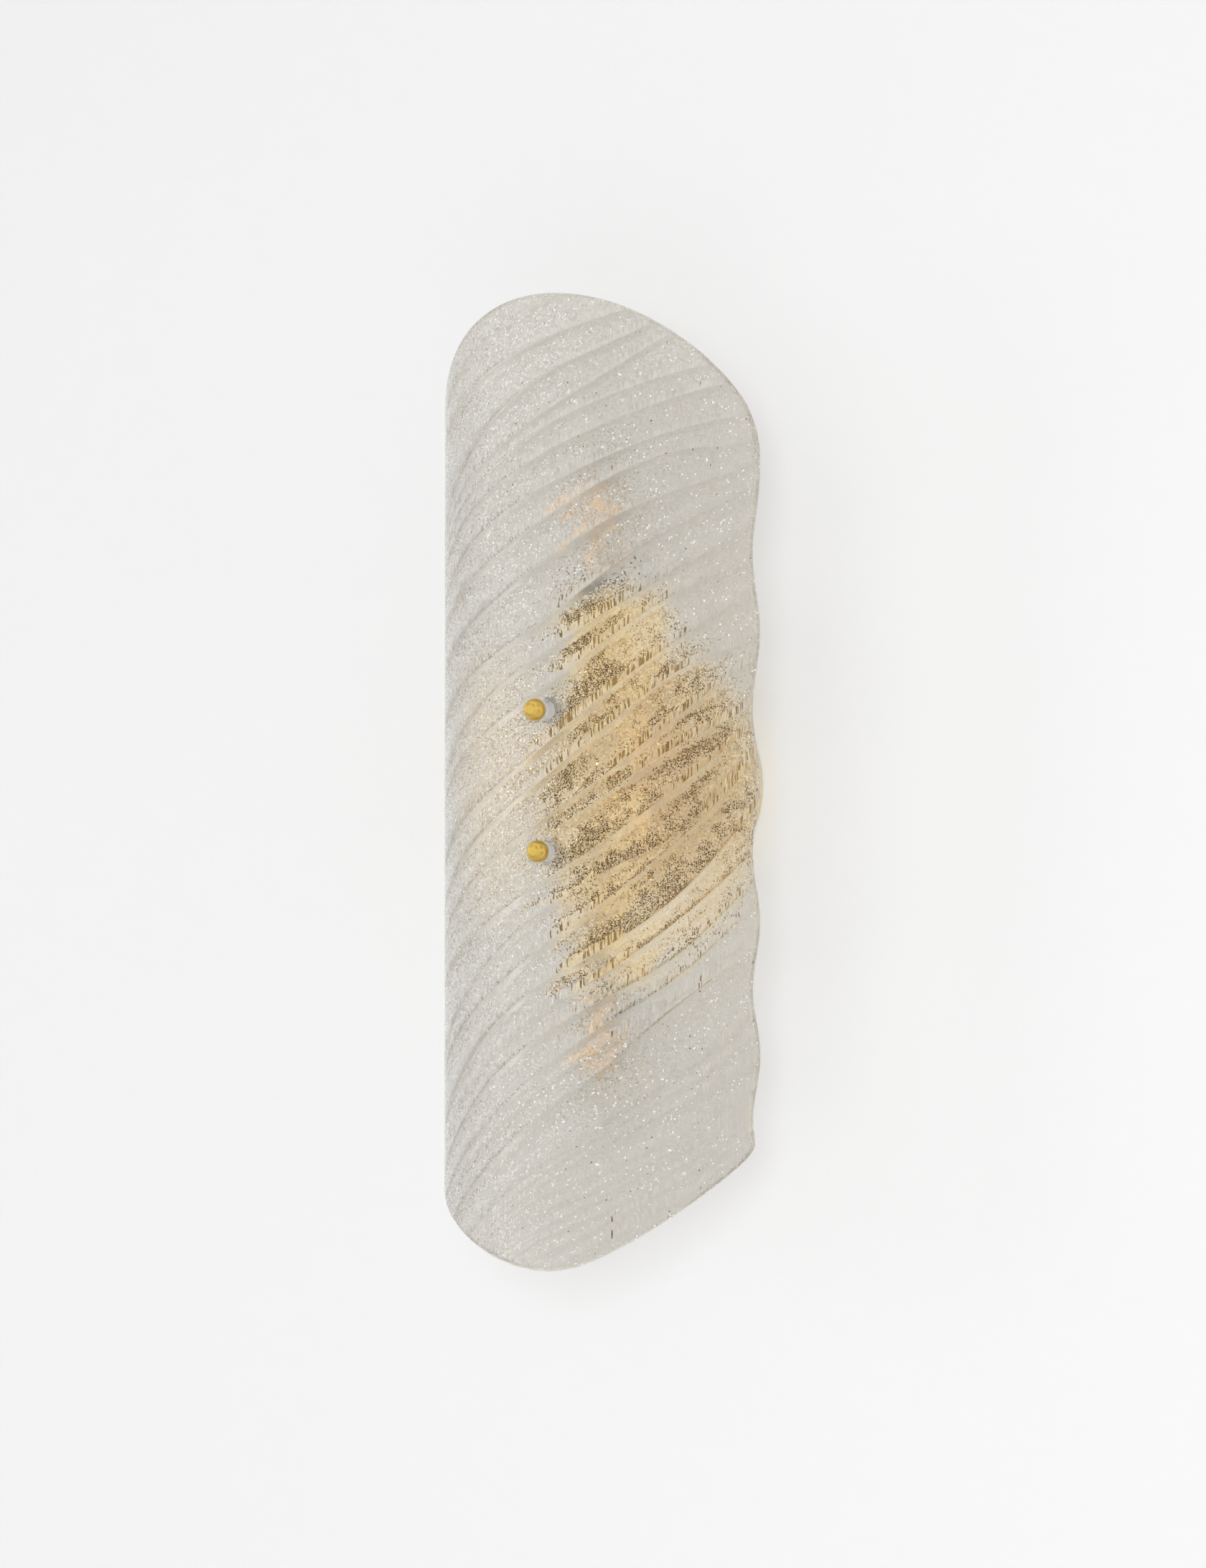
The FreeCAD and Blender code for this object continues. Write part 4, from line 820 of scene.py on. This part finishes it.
def makeGlassFinish(setup, colours):
    # clear glass under a skin of fused granules; each granule bends what is seen through it its own way
    shader = Shader("granulatedGlass")
    place = glassPlaces(shader)
    front = place["front"]
    smooth, striped = glassZones(shader, setup, place)
    pick, crescent, normal = glassGrain(shader, setup, place, smooth, striped)
    overBrass = brassShare(shader, place)
    paintedSheen = sheenShare(shader, place)
    rough = shader.rest(smooth)
    loose = shader.rest(striped)
    # painted glints: white specks in the granular parts away from the brass stand in for the sparkle of
    # light on the granules
    glintSpeck = shader.math("GREATER_THAN", pick.outputs["Red"], 1 - setup["glintShare"])
    glintSpeck = shader.times(glintSpeck, rough, front, loose, shader.rest(overBrass))
    # granules over the brass catch its dark side, in clusters that follow the ribs: painted dark
    # reflections, with a few dark specks at random elsewhere
    driftShare, clumpShare = setup["clumpShares"]
    clump = shader.times(shader.noise(place["point"], noiseScale["clump"], 3), clumpShare)
    clump = shader.math("ADD", shader.times(place["drift"], driftShare), clump)
    clump = shader.math("ADD", clump, shader.spread(place["down"], *setup["clumpDown"]))
    cluster = shader.times(shader.spread(clump, *setup["clusters"], setup["brassShare"]), loose)
    paler = shader.spread(cluster, *setup["palerFrom"], 1, 0)
    cluster = shader.math("ADD", cluster, shader.times(striped, setup["combShare"]))
    darkShare = shader.math("MAXIMUM", shader.times(overBrass, cluster, rough), setup["darkShare"])
    darkSpeck = shader.times(shader.math("LESS_THAN", pick.outputs["Green"], darkShare), crescent, front)
    # painted: the coated filaments, as seen through the glass, show as peach patches above and below
    away = shader.math("ABSOLUTE", place["height"])
    centre = seenThrough["filamentCentre"]
    filament = shader.ellipse(place["frayed"], away, centre, seenThrough["filamentHalf"])
    filament = shader.spread(filament, *seenThrough["filamentEdge"], seenThrough["filamentShare"], 0)
    filament = shader.times(filament, front, shader.spread(clump, *seenThrough["filamentClumps"]))
    # warm light that the plate throws on the glass to its left
    centre = seenThrough["glowCentre"]
    glow = shader.ellipse(place["along"], place["height"], centre, seenThrough["glowHalf"])
    glow = shader.spread(glow, *seenThrough["glowEdge"], seenThrough["glowShare"], 0)
    # painted: a veil of the cream gold of the brass seen through the glass
    veil = shader.times(overBrass, front, shader.spread(smooth, 0, 1, *seenThrough["veilShares"]))
    # painted shade: the glass is darker towards the bottom, away from the light above
    low = shader.spread(place["height"], *seenThrough["bottomShadeHeights"], seenThrough["bottomShadeShare"], 0)
    shaded = shader.times(pick.outputs["Blue"], shader.spread(overBrass, 0, 1, *setup["shadeShares"]))
    shadow = shader.blend(overBrass, colours["shadow"], colours["brown"])
    # painted dark reflections over the brass, darkest brown in the stripes
    speck = shader.blend(shader.times(paler, overBrass), colours["dark"], colours["comb"])
    ground = shader.blend(low, colours["clear"], colours["low"])
    # painted shade: a darker tan along the smooth band under each crease; over the brass the band takes
    # the painted cream of the brass
    ground = shader.blend(smooth, ground, shader.blend(overBrass, colours["band"], colours["overBand"]))
    layers = (
        # painted sheen, painted warm light, painted brass and filaments seen through, rim, painted shade,
        # painted glints and painted dark reflections
        (shader.times(paintedSheen, seenThrough["sheenShare"]), colours["milk"]),
        (glow, colours["glow"]),
        (veil, colours["cream"]),
        (filament, colours["peach"]),
        (place["rim"], colours["rim"]),
        (shaded, shadow),
        (glintSpeck, colours["white"]),
        (darkSpeck, speck),
    )
    for share, colour in layers:
        ground = shader.blend(share, ground, colour)
    clear = shader.spread(smooth, 0, 1, *setup["clear"])
    brassFront = shader.times(overBrass, front)
    veiled = {"paintedSheen": paintedSheen, "brass": brassFront, "filament": filament, "rim": place["rim"]}
    for name, share in veiled.items():
        clear = shader.math("SUBTRACT", clear, shader.times(share, veils[name]), clamp=name == "rim")
    values = {
        "Base Color": ground,
        "Roughness": shader.spread(smooth, 0, 1, *setup["smoothRough"]),
        "IOR": 1.46,
        "Specular IOR Level": 0.2,
        "Transmission Weight": shader.spread(glintSpeck, 0, 1, clear, setup["clearAtGlint"]),
        "Normal": normal,
    }
    return shader.finishGlass(values, colours["lampShare"])


def metalFinish(name, colour, rough, spread=0.05, bump=0.06):
    shader = Shader(name)
    point = shader.objectPoint()
    cloud = shader.noise(point, 60, 3)
    brush = shader.noise(shader.objectPoint((1, 1, 40)), 120, 2)
    roughness = shader.spread(cloud, 0.3, 0.7, rough - spread, rough + spread)
    dark = tuple(c * 0.86 for c in colour) + (1,)
    tint = shader.blend(shader.spread(cloud, 0.35, 0.65, 0, 1), dark, tuple(colour) + (1,))
    normal = shader.bump(brush, bump, 0.0002)
    return shader.finish({"Base Color": tint, "Metallic": 1.0, "Roughness": roughness, "Normal": normal})


def plasticFinish(name, colour, rough, grainScale=900, bump=0.1):
    shader = Shader(name)
    point = shader.objectPoint()
    grain = shader.noise(point, grainScale, 2)
    cloud = shader.noise(point, 70, 2)
    dark = tuple(c * 0.9 for c in colour) + (1,)
    light = tuple(min(c * 1.06, 1) for c in colour) + (1,)
    tint = shader.blend(shader.spread(cloud, 0.35, 0.65, 0, 1), dark, light)
    normal = shader.bump(grain, bump, 0.0001)
    return shader.finish({"Base Color": tint, "Roughness": rough, "Normal": normal})


def clearFinish(name, colour, rough, lampShare, bump=0.02, clear=1.0):
    shader = Shader(name)
    ripple = shader.noise(shader.objectPoint(), 80, 1)
    normal = shader.bump(ripple, bump, 0.0005)
    values = {"Base Color": tuple(colour) + (1,), "Roughness": rough, "IOR": 1.45,
              "Transmission Weight": clear, "Normal": normal}
    return shader.finishGlass(values, grey(lampShare))


finishes = {
    "frosted_glass": makeGlassFinish(granules, glassColours),
    "satin_brass": metalFinish("satinBrass", (0.97, 0.80, 0.43), 0.13, 0.03),
    "ball_brass": metalFinish("ballBrass", (0.80, 0.55, 0.13), 0.28),
    "shell_brass": metalFinish("shellBrass", (0.84, 0.64, 0.28), 0.20, 0.04),
    "zinc_steel": metalFinish("zincSteel", (0.62, 0.62, 0.61), 0.32),
    "green_screw": metalFinish("greenScrew", (0.10, 0.38, 0.16), 0.35),
    "clear_rubber": clearFinish("clearSilicone", (0.95, 0.95, 0.94), 0.15, 0.85, clear=0.6),
    "dark_phenolic": plasticFinish("darkPhenolic", (0.035, 0.03, 0.026), 0.4),
    "solder": metalFinish("solder", (0.66, 0.66, 0.66), 0.4),
    "black_glass": plasticFinish("blackGlass", (0.02, 0.02, 0.024), 0.12, 300, 0.02),
    "nickel_base": metalFinish("nickelBase", (0.68, 0.66, 0.62), 0.28),
    "clear_glass": clearFinish("clearGlass", (0.98, 0.98, 0.97), 0.02, 0.92),
    "nickel_wire": metalFinish("nickelWire", (0.60, 0.58, 0.55), 0.3),
    "orange_phosphor": plasticFinish("orangePhosphor", (1.0, 0.66, 0.30), 0.5),
    "black_lead": plasticFinish("blackLead", (0.03, 0.03, 0.03), 0.35),
    "white_lead": plasticFinish("whiteLead", (0.85, 0.85, 0.83), 0.35),
    "green_lead": plasticFinish("greenLead", (0.05, 0.36, 0.12), 0.35),
    "connector_plastic": plasticFinish("connectorPlastic", (0.86, 0.36, 0.05), 0.42),
}

slotOfNode = {row["node"]: row["material_slot"] for row in record["subparts"]}
for name, obj in nodes.items():
    obj.data.materials.clear()
    obj.data.materials.append(finishes[slotOfNode[name]])

shade.data.materials.clear()
shade.data.materials.append(finishes["frosted_glass"])
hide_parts("shade")
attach(shade, "fixture")
print("stage 5: finishes")
